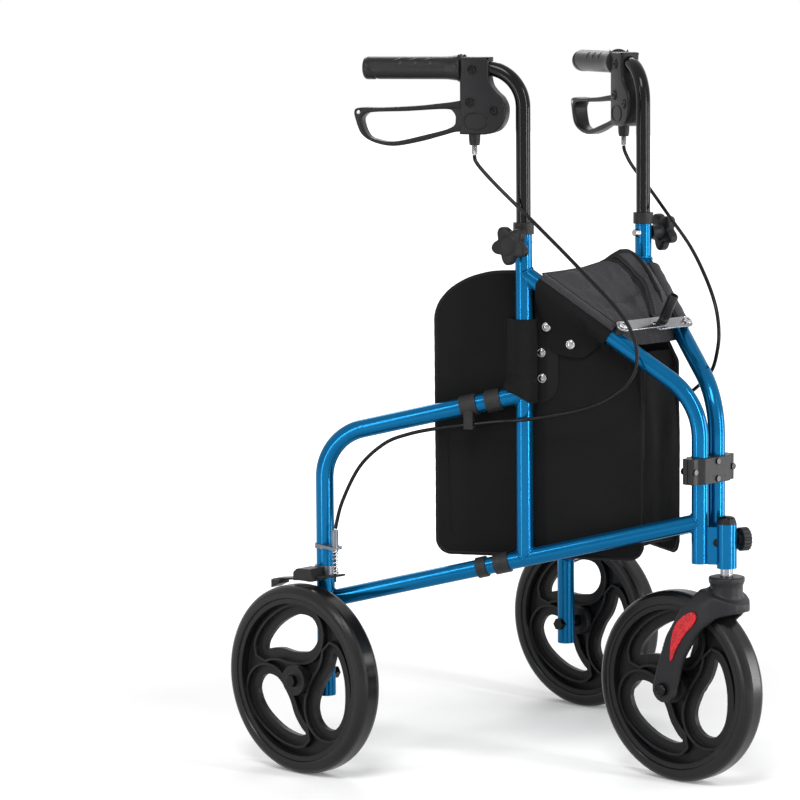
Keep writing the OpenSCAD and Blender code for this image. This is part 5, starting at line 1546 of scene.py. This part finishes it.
@dataclass
class FrontEnd:
    """Hinge bracket, head tube, fork and the lock links across the front bars."""

    stance: Stance
    palette: Palette
    link_u: float = 112.0
    link_w: float = 18.0
    link_t: float = 2.5
    link_long: float = 75.0
    floor: float = 14.94
    step: float = 5.0
    handle_r: float = 6.5
    handle_len: float = 42.0
    handle_lean: float = 10.0
    voxel: float = 2.0
    soft_steps: int = 8
    axle_x: float = 202.63
    axle_z: float = 125.0
    cap_r: float = 8.6
    cap_foot: float = -5.0
    bolt_z: float = 320.0
    bolt_run: float = 22.5
    bolt_lift: float = 4.2
    rivet_back: float = 14.0
    screw_gap: float = 0.5
    pin_r: float = 3.08
    rivet_profile: tuple = ((0.7, 4.0), (1.2, 2.8), (1.4, 0.4))
    screw_profile: tuple = (
        (-0.2, 6.3), (1.8, 6.3), (2.7, 5.6), (3.1, 4.2), (3.2, 2.2), (2.2, 2.0), (2.1, 0.3)
    )
    cap_shares: tuple = ((0.2, 1.0), (1.1, 0.93), (1.5, 0.8), (1.5, 0.52), (0.5, 0.47))
    dome_profile: tuple = (
        (-1.0, 10.6), (0.2, 11.0), (1.6, 10.3), (2.9, 8.4), (3.8, 5.4), (4.2, 2.2), (4.25, 0.3)
    )
    bolt_profile: tuple = (
        (-2.0, 5.0), (2.2, 5.0), (3.2, 4.4), (3.6, 3.4), (3.6, 2.6), (2.4, 2.4), (2.3, 0.3)
    )

    def plane(self) -> Matrix:
        """Frame of the front bars' plane: x ahead and down, y to the left."""
        a = math.radians(self.stance.splay)
        tilt = math.atan(self.stance.bar_rise / math.cos(a))
        origin = Matrix.Translation((self.stance.post_x, 0, self.stance.bar_corner_z))
        return origin @ Matrix.Rotation(tilt, 4, "Y")

    def link(self, side: Side) -> None:
        """Draw one lock link with its rivets, and the handle on the right one."""
        a = math.radians(self.stance.splay)
        stretch = math.hypot(math.cos(a), self.stance.bar_rise)
        pivot_y = self.stance.post_y + self.link_u * math.sin(a)
        short = 2 * pivot_y - self.link_long
        right = side is Side.RIGHT
        reach = self.link_long + 6.5 if right else short
        lift = self.floor + (self.step if right else 0.0)
        at = self.plane() @ Matrix.Translation((-self.link_u * stretch, side.value * pivot_y, lift))
        if not right:
            at = at @ Matrix.Rotation(math.pi, 4, "Z")
        r, hole_r, thick = self.link_w / 2, self.pin_r, self.link_t
        outline = [Vector((r * math.cos(t), r * math.sin(t))) for t in arc(math.pi, math.pi, 18)]
        outline += [Vector((r * math.cos(t), reach + r * math.sin(t))) for t in arc(0, math.pi, 18)]
        hole = [Vector((hole_r * math.cos(t), hole_r * math.sin(t))) for t in circle(24)]
        plate = Draft().plate(
            outline, [hole], thick, 0.5, lambda x, y, h: at @ Vector((x, y, h + thick / 2)), 2
        )
        if right:
            rivet = [(0.2, 3.6), (thick, 4.2), *((thick + h, w) for h, w in self.rivet_profile)]
            plate.turned(rivet, at @ Matrix.Translation((0, self.link_long - self.rivet_back, 0)), 24)
        self.palette.piece(
            plate, f"{side.word}_link_plate", LINK, f"{side.word}_link", angle=50,
            nodes=[f"{side.word}_lock_link"],
        )
        if right:
            self.handle(at @ Matrix.Translation((0, reach, thick)))
        stand = lift + thick + self.screw_gap
        cap_at = self.plane() @ Matrix.Translation((-self.link_u * stretch, side.value * pivot_y, stand))
        screw = Draft().turned(self.screw_profile, cap_at, 30)
        self.palette.piece(screw, f"{side.word}_link_screw", BRIGHT, f"{side.word}_frame")

    def handle(self, foot: Matrix) -> None:
        """Draw the hollow rubber handle that unlocks the links.

        Args:
            foot: where it stands on the right link, before it leans.
        """
        lean = Matrix.Rotation(-math.radians(self.handle_lean), 4, "Y")
        r, long = self.handle_r, self.handle_len - self.link_t
        tube = [(-0.4, 0.9 * r), (0.8, r), (4, r), (4.6, r - 0.5), (6, r - 0.5), (6.6, r)]
        tube += [(long - 1.2, r), (long - 0.3, r - 0.3), (long, r - 0.9), (long - 0.3, r - 1.6)]
        tube += [(long - 12, r - 1.9), (long - 12.2, 0.4)]
        knob = Draft().turned(tube, foot @ lean, 32)
        self.palette.piece(knob, "lock_handle", RUBBER, "right_link", angle=50)

    def mould(self, node: bpy.types.Object) -> None:
        """Soften the fork's solid as a moulding, with modifiers alone."""
        mesh = node.modifiers.new("moulded", "REMESH")
        mesh.mode = "VOXEL"
        mesh.voxel_size = self.voxel * MM
        mesh.use_smooth_shade = True
        soft = node.modifiers.new("softened", "SMOOTH")
        soft.factor = 0.5
        soft.iterations = self.soft_steps

    def caps(self, nodes: dict[str, bpy.types.Object]) -> None:
        """Draw the caps over the front axle's nuts, the head tube's dome and the gusset's bolt."""
        wide = max(corner.y for corner in self.corners(nodes["fork_bolts"]))
        top = max(corner.z for corner in self.corners(nodes["head_bushes"]))
        r = self.cap_r
        profile = [(self.cap_foot, r), *((h, share * r) for h, share in self.cap_shares), (0.4, 0.3)]
        axle = Draft()
        for sign in (-1, 1):
            axle.turned(profile, outward((self.axle_x, sign * wide, self.axle_z), sign), 32)
        self.palette.piece(axle, "axle_caps", BLACK_GLOSS, "fork")
        st = self.stance
        dome = Draft().turned(self.dome_profile, Matrix.Translation((st.post_x + st.head_x, 0, top)), 36)
        self.palette.piece(dome, "head_dome", BLACK_GLOSS, "right_frame", angle=60)
        out = Vector((st.post_y, -st.head_x, 0)).normalized()
        along = Vector((-out.y, out.x, 0))
        post = Vector((st.post_x, -st.post_y, self.bolt_z))
        place = Matrix.Translation(post + self.bolt_run * along + self.bolt_lift * out)
        bolt = Draft().turned(self.bolt_profile, place @ out.to_track_quat("Z", "Y").to_matrix().to_4x4(), 28)
        self.palette.piece(bolt, "gusset_bolt", BLACK_GLOSS, "right_frame")

    @staticmethod
    def corners(node: bpy.types.Object) -> list[Vector]:
        """Corners of a CAD node's box in millimetres."""
        return [node.matrix_world @ Vector(c) / MM for c in node.bound_box]

    def build(self, nodes: dict[str, bpy.types.Object]) -> None:
        """Draw the links and caps and dress the nodes that stay."""
        for name, finish in (
            ("hinge_front", PLASTIC), ("hinge_rear", PLASTIC), ("hinge_screws", BLACK_GLOSS),
            ("head_tube", BLUE), ("head_bushes", PLASTIC), ("swivel_knob", PLASTIC), ("fork", FORK),
            ("fork_bolts", LINK), ("reflectors", RED),
        ):
            self.palette.dress(nodes[name], finish)
        self.mould(nodes["fork"])
        self.caps(nodes)
        for side in Side:
            self.link(side)


@dataclass
class Bag:
    """Cloth tote between the frames: side panels with sleeves, body and zipped lid."""

    stance: Stance
    palette: Palette
    front_u: float = 80.0
    rear_u: float = 355.0
    bottom_z: float = 291.0
    top_z: float = 661.0
    out_v: float = -17.0
    thick: float = 2.6
    belly: float = 1.6
    panel_folds: tuple = (0.7, 0.5)
    fold_floor: float = 0.35
    panel_back: float = 1.2
    pull_depth: float = 1.2
    pull_at: tuple = (215.0, 555.0)
    pull_size: tuple = (34.0, 60.0)
    sleeve_r: float = 13.7
    sleeve_steps: int = 36
    sleeve_t: float = 1.8
    mesh_t: float = 1.0
    wrap_arc: tuple = (-95.0, 156.0, 88.0)
    mesh_arc: tuple = (-26.0, 54.0)
    seam_turn: float = -16.0
    snap_r: float = 6.4
    bar_low: float = 118.0
    bar_high: float = 213.0
    corner: tuple = (98.0, 64.0)
    fold_lean: float = 20.0
    fold_keep: float = 0.03
    lid_area: float = 0.012
    lid_front: float = 116.0
    lid_inset: float = 4.0
    lid_rear: tuple = (208.0, 199.0)
    rise_table: tuple = (
        (-1, 0), (-0.65, 2), (-0.29, 5), (0.125, 13), (0.415, 23.5), (0.55, 23.5), (0.67, 20), (0.865, 7),
        (1, 0),
    )
    crease_line: tuple = ((0.4, 0.66), (0.35, 0.48), (-0.12, 0.45), (-0.5, 0.38))
    piping_line: tuple = (
        (0.04, 1), (0.2, 1), (0.38, 1), (0.52, 1), (0.61, 0.97), (0.67, 0.88), (0.7, 0.79), (0.72, 0.66),
        (0.725, 0.49), (0.74, 0.31), (0.75, 0.2),
    )
    zip_line: tuple = (
        (0.24, 0.985), (0.36, 0.83), (0.46, 0.68), (0.5, 0.5), (0.47, 0.34), (0.44, 0.22), (0.4, 0.13)
    )
    tape_shares: tuple = (-0.085, -0.04, 0.0, 0.04, 0.085)
    apron: float = 0.25
    flap_line: tuple = (
        (118, 590), (125.6, 582), (139.2, 564.5), (154.8, 553), (170.4, 552), (197.7, 557.5), (209.3, 572),
        (220, 597),
    )
    flap_level: float = -12.4
    lining: tuple = ((4, 1.6, 24), (3, 2.6, 12))
    wrap_steps: int = 44
    wrap_r: float = 14.4
    tongue_top: float = 514.0
    waist_z: float = 526.0
    wrap_low: float = 494.0
    wrap_high: float = 602.0
    wrap_line: tuple = ((494, 217), (500, 230), (507, 244), (513, 255), (519, 259), (604, 257.5))
    tab_corners: tuple = ((190, 491, 27), (228, 491, 4), (228, 604, 3), (190, 604, 6))
    flap_snaps: tuple = ((205, -10.4, 591.4), (173, -10.8, 569.2))
    tab_snaps: tuple = ((213, 557.3), (212.2, 523.9))
    snap_shares: tuple = ((0.5, 1.0), (1.2, 0.93), (1.5, 0.8), (1.1, 0.66), (1.7, 0.5), (2.0, 0.2))
    shell_line: tuple = (
        (110, 556), (97, 530), (90, 480), (87, 400), (87, 345), (89, 320), (104, 306), (150, 303), (220, 301),
        (290, 302), (332, 307), (345, 322), (347, 360), (348, 450), (347, 540), (345, 598),
    )
    shell_cols: int = 30
    shell_front: float = 120.0
    shell_rear: float = 330.0
    shell_floor: float = 300.0
    ridge_wave: tuple = (10.0, 0.8, 0.17)
    hollow_wave: tuple = (-6.0, -0.05, 0.45)
    crease_depth: float = 5.0
    crease_width: float = 0.05
    wrinkles: tuple = (4.5, 4.0)

    def side_piece(
        self,
        draft: Draft,
        frame: SideFrame,
        name: str,
        finish: Finish,
        angle: float = 60.0,
        turned: bool = False,
        nodes: Sequence[str] = (),
    ) -> bpy.types.Object:
        """Build a draft that hangs on one side frame.

        Args:
            draft: the drawn mesh.
            frame: the side frame.
            name: the piece's name without its side.
            finish: its finish.
            angle: edges sharper than this stay sharp.
            turned: whether the draft's faces look inward.
            nodes: CAD nodes that it replaces.

        Returns:
            The piece.
        """
        word = frame.side.word
        flip = frame.mirrored != turned
        return self.palette.piece(
            draft, f"{word}_{name}", finish, f"{word}_frame", frame.at, flip, angle, nodes
        )

    def outline(self) -> list[Vector]:
        """Edge of a side panel, counterclockwise in u and z."""
        s = self.stance
        turn = arc(0, math.pi / 2, 16)
        wide, tall = self.corner
        shoulder = [
            (self.rear_u - wide * (1 - math.cos(a)), self.top_z - tall * (1 - math.sin(a)), 0) for a in turn
        ]
        return rounded(
            [
                (self.front_u, self.bottom_z, 18), (self.rear_u, self.bottom_z, 18), *shoulder,
                (s.upright_u + 13.5, self.top_z, 9), (self.front_u, s.bar_z(self.front_u) - 13.5, 9),
            ],
            8,
        )

    def panel_v(self, u: float, z: float) -> float:
        """Outward place of a side panel's cloth, with a slight belly and soft folds."""
        s = (u - self.front_u) / (self.rear_u - self.front_u)
        t = (z - self.bottom_z) / (self.top_z - self.bottom_z)
        belly = self.belly * math.sin(math.pi * min(max(s, 0), 1)) * math.sin(math.pi * min(max(t, 0), 1))
        high, low = self.panel_folds
        folds = high * math.sin(u / 29 + 1.7 * math.sin(z / 71)) + low * math.sin(z / 23 + u / 57)
        (pull_u, pull_z), (wide, tall) = self.pull_at, self.pull_size
        pull = -self.pull_depth * math.exp(-(((u - pull_u) / wide) ** 2) - ((z - pull_z) / tall) ** 2)
        return self.out_v - self.panel_back + belly + folds * lerp(self.fold_floor, 1.0, t) + pull

    def side_panel(self, frame: SideFrame) -> None:
        """Draw a side panel and its bound edge."""
        edge = self.outline()
        rows, cols = 64, 44
        floor, roof = min(p.y for p in edge), max(p.y for p in edge)
        grid = []
        for i in range(rows + 1):
            z = lerp(floor + 0.01, roof - 0.01, (1 - math.cos(math.pi * i / rows)) / 2)
            hits = []
            for a, b in zip(edge, [*edge[1:], edge[0]]):
                if (a.y - z) * (b.y - z) <= 0 and a.y != b.y:
                    hits.append(lerp(a.x, b.x, (z - a.y) / (b.y - a.y)))
            low, high = min(hits), max(hits)
            us = [lerp(low, high, j / cols) for j in range(cols + 1)]
            grid.append([Vector((u, self.panel_v(u, z), z)) for u in us])
        word = frame.side.word
        cloth = Draft().sheet(grid, self.thick)
        panel = self.side_piece(cloth, frame, "bag_panel", CLOTH, turned=True, nodes=[f"bag_side_{word}"])
        path = []
        for a, b in zip(edge, [*edge[1:], edge[0]]):
            n = max(1, int((b - a).length / 6))
            path += [a.lerp(b, k / n) for k in range(n)]
        line = [Vector((p.x, self.panel_v(p.x, p.y), p.y)) for p in path]
        trim = Draft().tube(
            line, lambda i: 2.7 + 0.12 * math.sin(1.9 * i), 10, looped=True, flat=0.8, up=(0, 1, 0)
        )
        band = self.side_piece(trim, frame, "bag_binding", BINDING)
        area = 0.5 * abs(sum(a.x * b.y - b.x * a.y for a, b in zip(edge, [*edge[1:], edge[0]])))
        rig.sheet(
            panel, flat=((self.rear_u - self.front_u) * MM, (self.top_z - self.bottom_z) * MM), held="hung",
            rests_on=[f"{word}_front_tube", f"{word}_upright"], area=area * MM * MM, with_pieces=[band],
        )

    def round_bar(self, u: float, angle: float, lift: float) -> Vector:
        """Place a point round a front bar.

        Args:
            u: distance of the bar's point behind the post.
            angle: turn from straight up towards the outside, in degrees.
            lift: distance off the sleeve's radius.

        Returns:
            The point in a side frame.
        """
        slope, t = math.atan(self.stance.bar_rise), math.radians(angle)
        up = Vector((-math.sin(slope), 0, math.cos(slope)))
        axis = Vector((u, 0, self.stance.bar_z(u)))
        return axis + (self.sleeve_r + lift) * (math.cos(t) * up + math.sin(t) * Vector((0, 1, 0)))

    def bar_sleeve(self, frame: SideFrame) -> None:
        """Draw the sleeve over the front bar, with the flap that hangs down outside it."""
        fall = [(self.bar_low, self.bar_low), (150, 150), (self.bar_high, 220)]
        grid, top, seam = [], [], []
        back, front_under, rear_under = self.wrap_arc
        for i in range(self.sleeve_steps + 1):
            u = lerp(self.bar_low, self.bar_high, i / self.sleeve_steps)
            level = self.stance.bar_z(u)
            ripple = 0.25 * math.sin(i * 0.9)
            row = [Vector((u + du, self.out_v + dv, level - drop)) for du, dv, drop in self.lining]
            under = lerp(front_under, rear_under, smooth((u - 122) / 30))
            row += [self.round_bar(u, lerp(back, under, k / 18), 0.3 + ripple) for k in range(19)]
            top.append([self.round_bar(u, lerp(*self.mesh_arc, k / 10), 1.7 + ripple) for k in range(11)])
            seam.append(self.round_bar(u, self.seam_turn, 2.5 + ripple))
            last = row[-1]
            foot = table_at(fall, u)
            low = min(table_at(self.flap_line, foot), last.z - 4)
            for k in range(1, 13):
                t = k / 12
                sway = 0.9 * math.sin(0.3 * i + 2.2 * t) * t
                v = lerp(last.y, self.flap_level, smooth(1.35 * t) ** 0.8) + sway
                row.append(Vector((lerp(last.x, foot, smooth(1.6 * t)), v, lerp(last.z, low, t))))
            grid.append(row)
        sleeve = self.side_piece(Draft().sheet(grid, self.sleeve_t), frame, "bar_sleeve", CLOTH)
        strip = self.side_piece(Draft().sheet(top, self.mesh_t), frame, "bar_mesh", MESH)
        line = self.side_piece(Draft().tube(seam, 0.9, 8), frame, "bar_seam", BINDING)
        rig.sheet(
            sleeve, flat=(0.116, 0.14), held="folded", rests_on=[f"{frame.side.word}_front_tube"],
            with_pieces=[strip, line],
        )

    def upright_sleeve(self, frame: SideFrame) -> None:
        """Draw the wrap round the upright, and its tab with the snaps."""
        s = self.stance
        skin = self.out_v + 1.4
        grid = []
        for i in range(self.wrap_steps + 1):
            z = lerp(self.wrap_low, self.wrap_high, i / self.wrap_steps)
            ur = table_at(self.wrap_line, z)
            hug = smooth((z - self.tongue_top) / 9)
            waist = 1.3 * math.exp(-(((z - self.waist_z) / 2.6) ** 2))
            r = self.wrap_r + 0.3 * math.sin(z / 8) - waist
            wall = [(s.upright_u - r + 1, skin), (s.upright_u - r, -8.0), (s.upright_u - r, 0.0)]
            wall += [(s.upright_u - 0.72 * r, 0.72 * r), (s.upright_u - 0.1 * r, r)]
            far = [(s.upright_u + 0.56 * r, 0.84 * r), (s.upright_u + 1.15 * r, 0.0), (ur, skin)]
            start = min(s.upright_u - 0.1 * r, ur)
            tongue = [(lerp(start, ur, w), r - drop) for w, drop in ((0.4, 0.0), (0.75, 0.3), (1.0, 1.0))]
            marks = [(min(u, ur), v) for u, v in wall]
            marks += [(lerp(c[0], d[0], hug), lerp(c[1], d[1], hug)) for c, d in zip(tongue, far)]
            grid.append(spline([Vector((u, v, z)) for u, v in marks], 4))
        cloth = Draft().sheet(grid, self.sleeve_t)
        wrap = self.side_piece(cloth, frame, "upright_sleeve", CLOTH, turned=True)
        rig.sheet(wrap, flat=(0.108, 0.078), held="folded", rests_on=[f"{frame.side.word}_upright"])
        self.snap_tab(frame)

    def snap_tab(self, frame: SideFrame) -> None:
        """Draw the tab beside the upright and the snaps on tab and flap."""
        level = self.out_v + 2.4
        tab = Draft().plate(
            rounded(self.tab_corners, 8), [], 2.0, 0.7, lambda x, y, h: Vector((x, level - h, y)), 2
        )
        self.side_piece(tab, frame, "snap_tab", BINDING, angle=40)
        r = self.snap_r
        profile = [(-1.5, r), *((h, share * r) for h, share in self.snap_shares)]
        snaps = Draft()
        for spot in (*self.flap_snaps, *((u, level + 0.6, z) for u, z in self.tab_snaps)):
            snaps.turned(profile, outward(spot), 28)
        self.side_piece(snaps, frame, "snaps", LINK, angle=50)

    def inner_y(self, u: float, lift: float = 3.2) -> float:
        """Half width of the bag between its side panels."""
        a = math.radians(self.stance.splay)
        return self.stance.post_y + u * math.sin(a) + (self.out_v - lift) * math.cos(a)

    def spot(self, u: float, share: float, half: float, z: float) -> Vector:
        """Place a point across the bag by its share of the half width."""
        a = math.radians(self.stance.splay)
        return Vector((self.stance.post_x - u * math.cos(a), share * half, z))

    def body(self) -> None:
        """Draw the front, floor and rear as one hanging shell."""
        path = spline([Vector((u, 0, z)) for u, z in self.shell_line], 5)
        grid = []
        for i, p in enumerate(path):
            half = self.inner_y(p.x) - 1.0
            front = p.x < self.shell_front and p.z > self.shell_floor
            rear = p.x > self.shell_rear and p.z > self.shell_floor
            row = []
            for j in range(self.shell_cols + 1):
                c = 2 * j / self.shell_cols - 1
                sag = (1 - c * c) * (4.5 + 1.5 * math.sin(0.4 * i))
                fold = 1.3 * math.sin(5 * c + 0.21 * i) * (1 - c * c)
                du = (sag + fold) if front else (-sag - fold if rear else 0.0)
                dz = -0.5 * (sag + fold) if not (front or rear) else 0.0
                row.append(self.spot(p.x + du, c, half, p.z + dz))
            grid.append(row)
        cloth = Draft().sheet(grid, 2.4)
        shell = self.palette.piece(cloth, "bag_shell", CLOTH, "hinge", angle=70, nodes=["bag_body"])
        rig.sheet(shell, flat=(0.22, 0.81), held="hung", rests_on=["bag_side_right", "bag_side_left"])
        hem = self.palette.piece(Draft().tube(grid[-1], 2.6, 10), "bag_rear_hem", BINDING, "hinge", angle=60)
        for piece in (shell, hem):
            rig.squash(piece, "fold_right", axis=(0, 1, 0), anchor=(0, 0, 0), keep=self.fold_keep)

    def crease_gap(self, spot: Vector) -> float:
        """Distance of a place on the lid from its crease, in the lid's shares."""
        gaps = []
        for p, q in zip(self.crease_line, self.crease_line[1:]):
            start, end = Vector(p), Vector(q)
            along = (spot - start).dot(end - start) / (end - start).length_squared
            gaps.append((spot - start.lerp(end, min(max(along, 0.0), 1.0))).length)
        return min(gaps)

    def lid_point(self, c: float, t: float) -> Vector:
        """Place a point of the lid.

        Args:
            c: share of the half width, right to left.
            t: 0 at the front edge, 1 at the rear, below 0 on the apron that drops in front.

        Returns:
            The point in the shared frame, in millimetres.
        """
        s = self.stance
        a = math.radians(s.splay)
        on = min(max(t, 0.0), 1.0)
        u = lerp(self.lid_front, lerp(*self.lid_rear, (c + 1) / 2), on)
        half = s.post_y + u * math.sin(a) - self.lid_inset * math.cos(a)
        level = s.bar_z(u) + self.sleeve_r + lerp(-6.0, 1.4, smooth(on / 0.3))
        inner = 1 - c**4
        soft = noise.noise(Vector((2.6 * c, 3.1 * t, 0.7)))
        soft += 0.6 * noise.noise(Vector((6.5 * c, 5.2 * t, 4.1)))
        sharp = 0.5 - abs(noise.noise(Vector((3.4 * c + 1.2 * t, 1.1 * c - 3.8 * t, 9.3)))) ** 0.5
        u += self.lid_inset * math.tan(a)
        if t < 0:
            drop = smooth(-t / self.apron)
            wave = 2.4 * soft * drop
            return self.spot(u - 7 * drop + wave, c, half - 9 * drop, level - 22 * drop)
        rise = table_at(self.rise_table, c) * smooth((t - 0.05) / 0.95)
        swell = math.sin(math.pi * on)
        ridge = hump(c, *self.ridge_wave) * swell**0.8
        hollow = hump(c, *self.hollow_wave) * swell
        crease = hump(self.crease_gap(Vector((c, t))), -self.crease_depth, 0.0, self.crease_width)
        broad, fine = self.wrinkles
        folds = (broad * soft + fine * sharp + crease) * inner * smooth(2.5 * swell)
        return self.spot(u, c, half, level + rise + ridge + hollow + folds)

    def lid(self) -> None:
        """Draw the mesh lid in two halves, which fold apart; the piping and the zip go with the left one."""
        rows, cols = 60, 36
        halves = {}
        for side in Side:
            shares = [j / cols - (1 if side is Side.RIGHT else 0) for j in range(cols + 1)]
            grid = [
                [self.lid_point(c, t) for c in shares]
                for t in (lerp(-self.apron, 1.0, i / rows) for i in range(rows + 1))
            ]
            nodes = ["bag_lid"] if side is Side.RIGHT else []
            cloth, edge = Draft().sheet(grid, 1.6), [p + Vector((0, 0, 0.3)) for p in grid[-1]]
            lid = self.palette.piece(cloth, f"bag_lid_{side.word}", MESH, "hinge", angle=70, nodes=nodes)
            hem = Draft().tube(edge, 1.2, 8)
            halves[side] = [lid, self.palette.piece(hem, f"lid_hem_{side.word}", MESH, "hinge", angle=60)]
        halves[Side.LEFT] += self.zipper()
        st = self.stance
        a = math.radians(st.splay)
        tilt = math.atan(st.bar_rise / math.cos(a))
        lean = math.radians(self.fold_lean)
        mid = 0.5 * (self.lid_front + self.lid_rear[0])
        ridge = Vector((st.post_x - mid * math.cos(a), 0, st.bar_z(mid) + self.sleeve_r + 1.4)) * MM
        for side, pieces in halves.items():
            across, rise = side.value * math.cos(lean), math.sin(lean)
            axis = (rise * math.sin(tilt), across, rise * math.cos(tilt))
            for piece in pieces:
                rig.squash(piece, "fold_right", axis=axis, anchor=tuple(ridge), keep=self.fold_keep)
            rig.sheet(
                pieces[0], flat=(0.105, 0.125), area=self.lid_area, held="stretched",
                rests_on=[f"{side.word}_front_tube"], with_pieces=pieces[1:],
            )

    def zipper(self) -> list[bpy.types.Object]:
        """Draw the lid's rear piping and its zip.

        Returns:
            The pieces.
        """
        up = Vector((0, 0, 1))
        run = spline([Vector((*q, 0)) for q in self.piping_line], 6)
        bead = [self.lid_point(p.x, min(p.y, 1.0)) + up for p in run]
        count = len(bead) - 1
        piping = Draft().tube(bead, lambda i: lerp(1.0, 3.2, smooth(min(i, count - i) / 9)), 12)
        tape, teeth = [], []
        for p in spline([Vector((*q, 0)) for q in self.zip_line], 10):
            tape.append([self.lid_point(p.x + w, p.y) + 1.5 * up for w in self.tape_shares])
            teeth.append(self.lid_point(p.x, p.y) + 2.6 * up)
        chain = Draft().tube(teeth, lambda i: 2.2 if i % 2 else 1.7, 8, flat=0.7, up=(0, 0, 1))
        pull = teeth[-1] + 1.5 * up
        slide = Draft().plate(
            rounded([(-7, -2.6, 2), (7, -3.2, 2.6), (7, 3.2, 2.6), (-7, 2.6, 2)], 5), [], 2.2, 0.8,
            lambda x, y, h: pull + Vector((x * 0.8, y, h - 0.5 * x)), 2,
        )
        return [
            self.palette.piece(piping, "lid_piping", BINDING, "hinge", angle=60),
            self.palette.piece(Draft().sheet(tape, 1.0), "zip_tape", BINDING, "hinge", flip=True, angle=60),
            self.palette.piece(chain, "zip_teeth", PLASTIC, "hinge", angle=30),
            self.palette.piece(slide, "zip_pull", BLACK_GLOSS, "hinge"),
        ]

    def build(self) -> None:
        """Draw every cloth piece."""
        for side in Side:
            frame = SideFrame(side, self.stance)
            self.side_panel(frame)
            self.bar_sleeve(frame)
            self.upright_sleeve(frame)
        self.body()
        self.lid()


def main() -> None:
    """Load the frame, build every sub-assembly and write the two boxes."""
    logging.basicConfig(level=logging.INFO, format="%(message)s")
    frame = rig.load()
    cad_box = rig.bounds()
    nodes = frame["nodes"]
    stance = Stance()
    Studio().build()
    palette = Palette()
    for side in Side:
        place = SideFrame(side, stance)
        BrakeSet(place, palette).build(nodes)
        TubeWork(place, palette).build(nodes)
        HandleSet(place, palette).build(nodes)
    for name in ("right", "left", "front"):
        Wheel(name, palette).build(nodes)
    FrontEnd(stance, palette).build(nodes)
    Bag(stance, palette).build()
    boxes = {"cad": [list(c) for c in cad_box], "visual": [list(c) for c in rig.bounds()]}
    with open(SIZE_FILE, "w", encoding="utf-8") as f:
        json.dump(boxes, f)
    LOG.info("%d pieces shown", len(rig.pieces()))


if __name__ == "__main__":
    main()
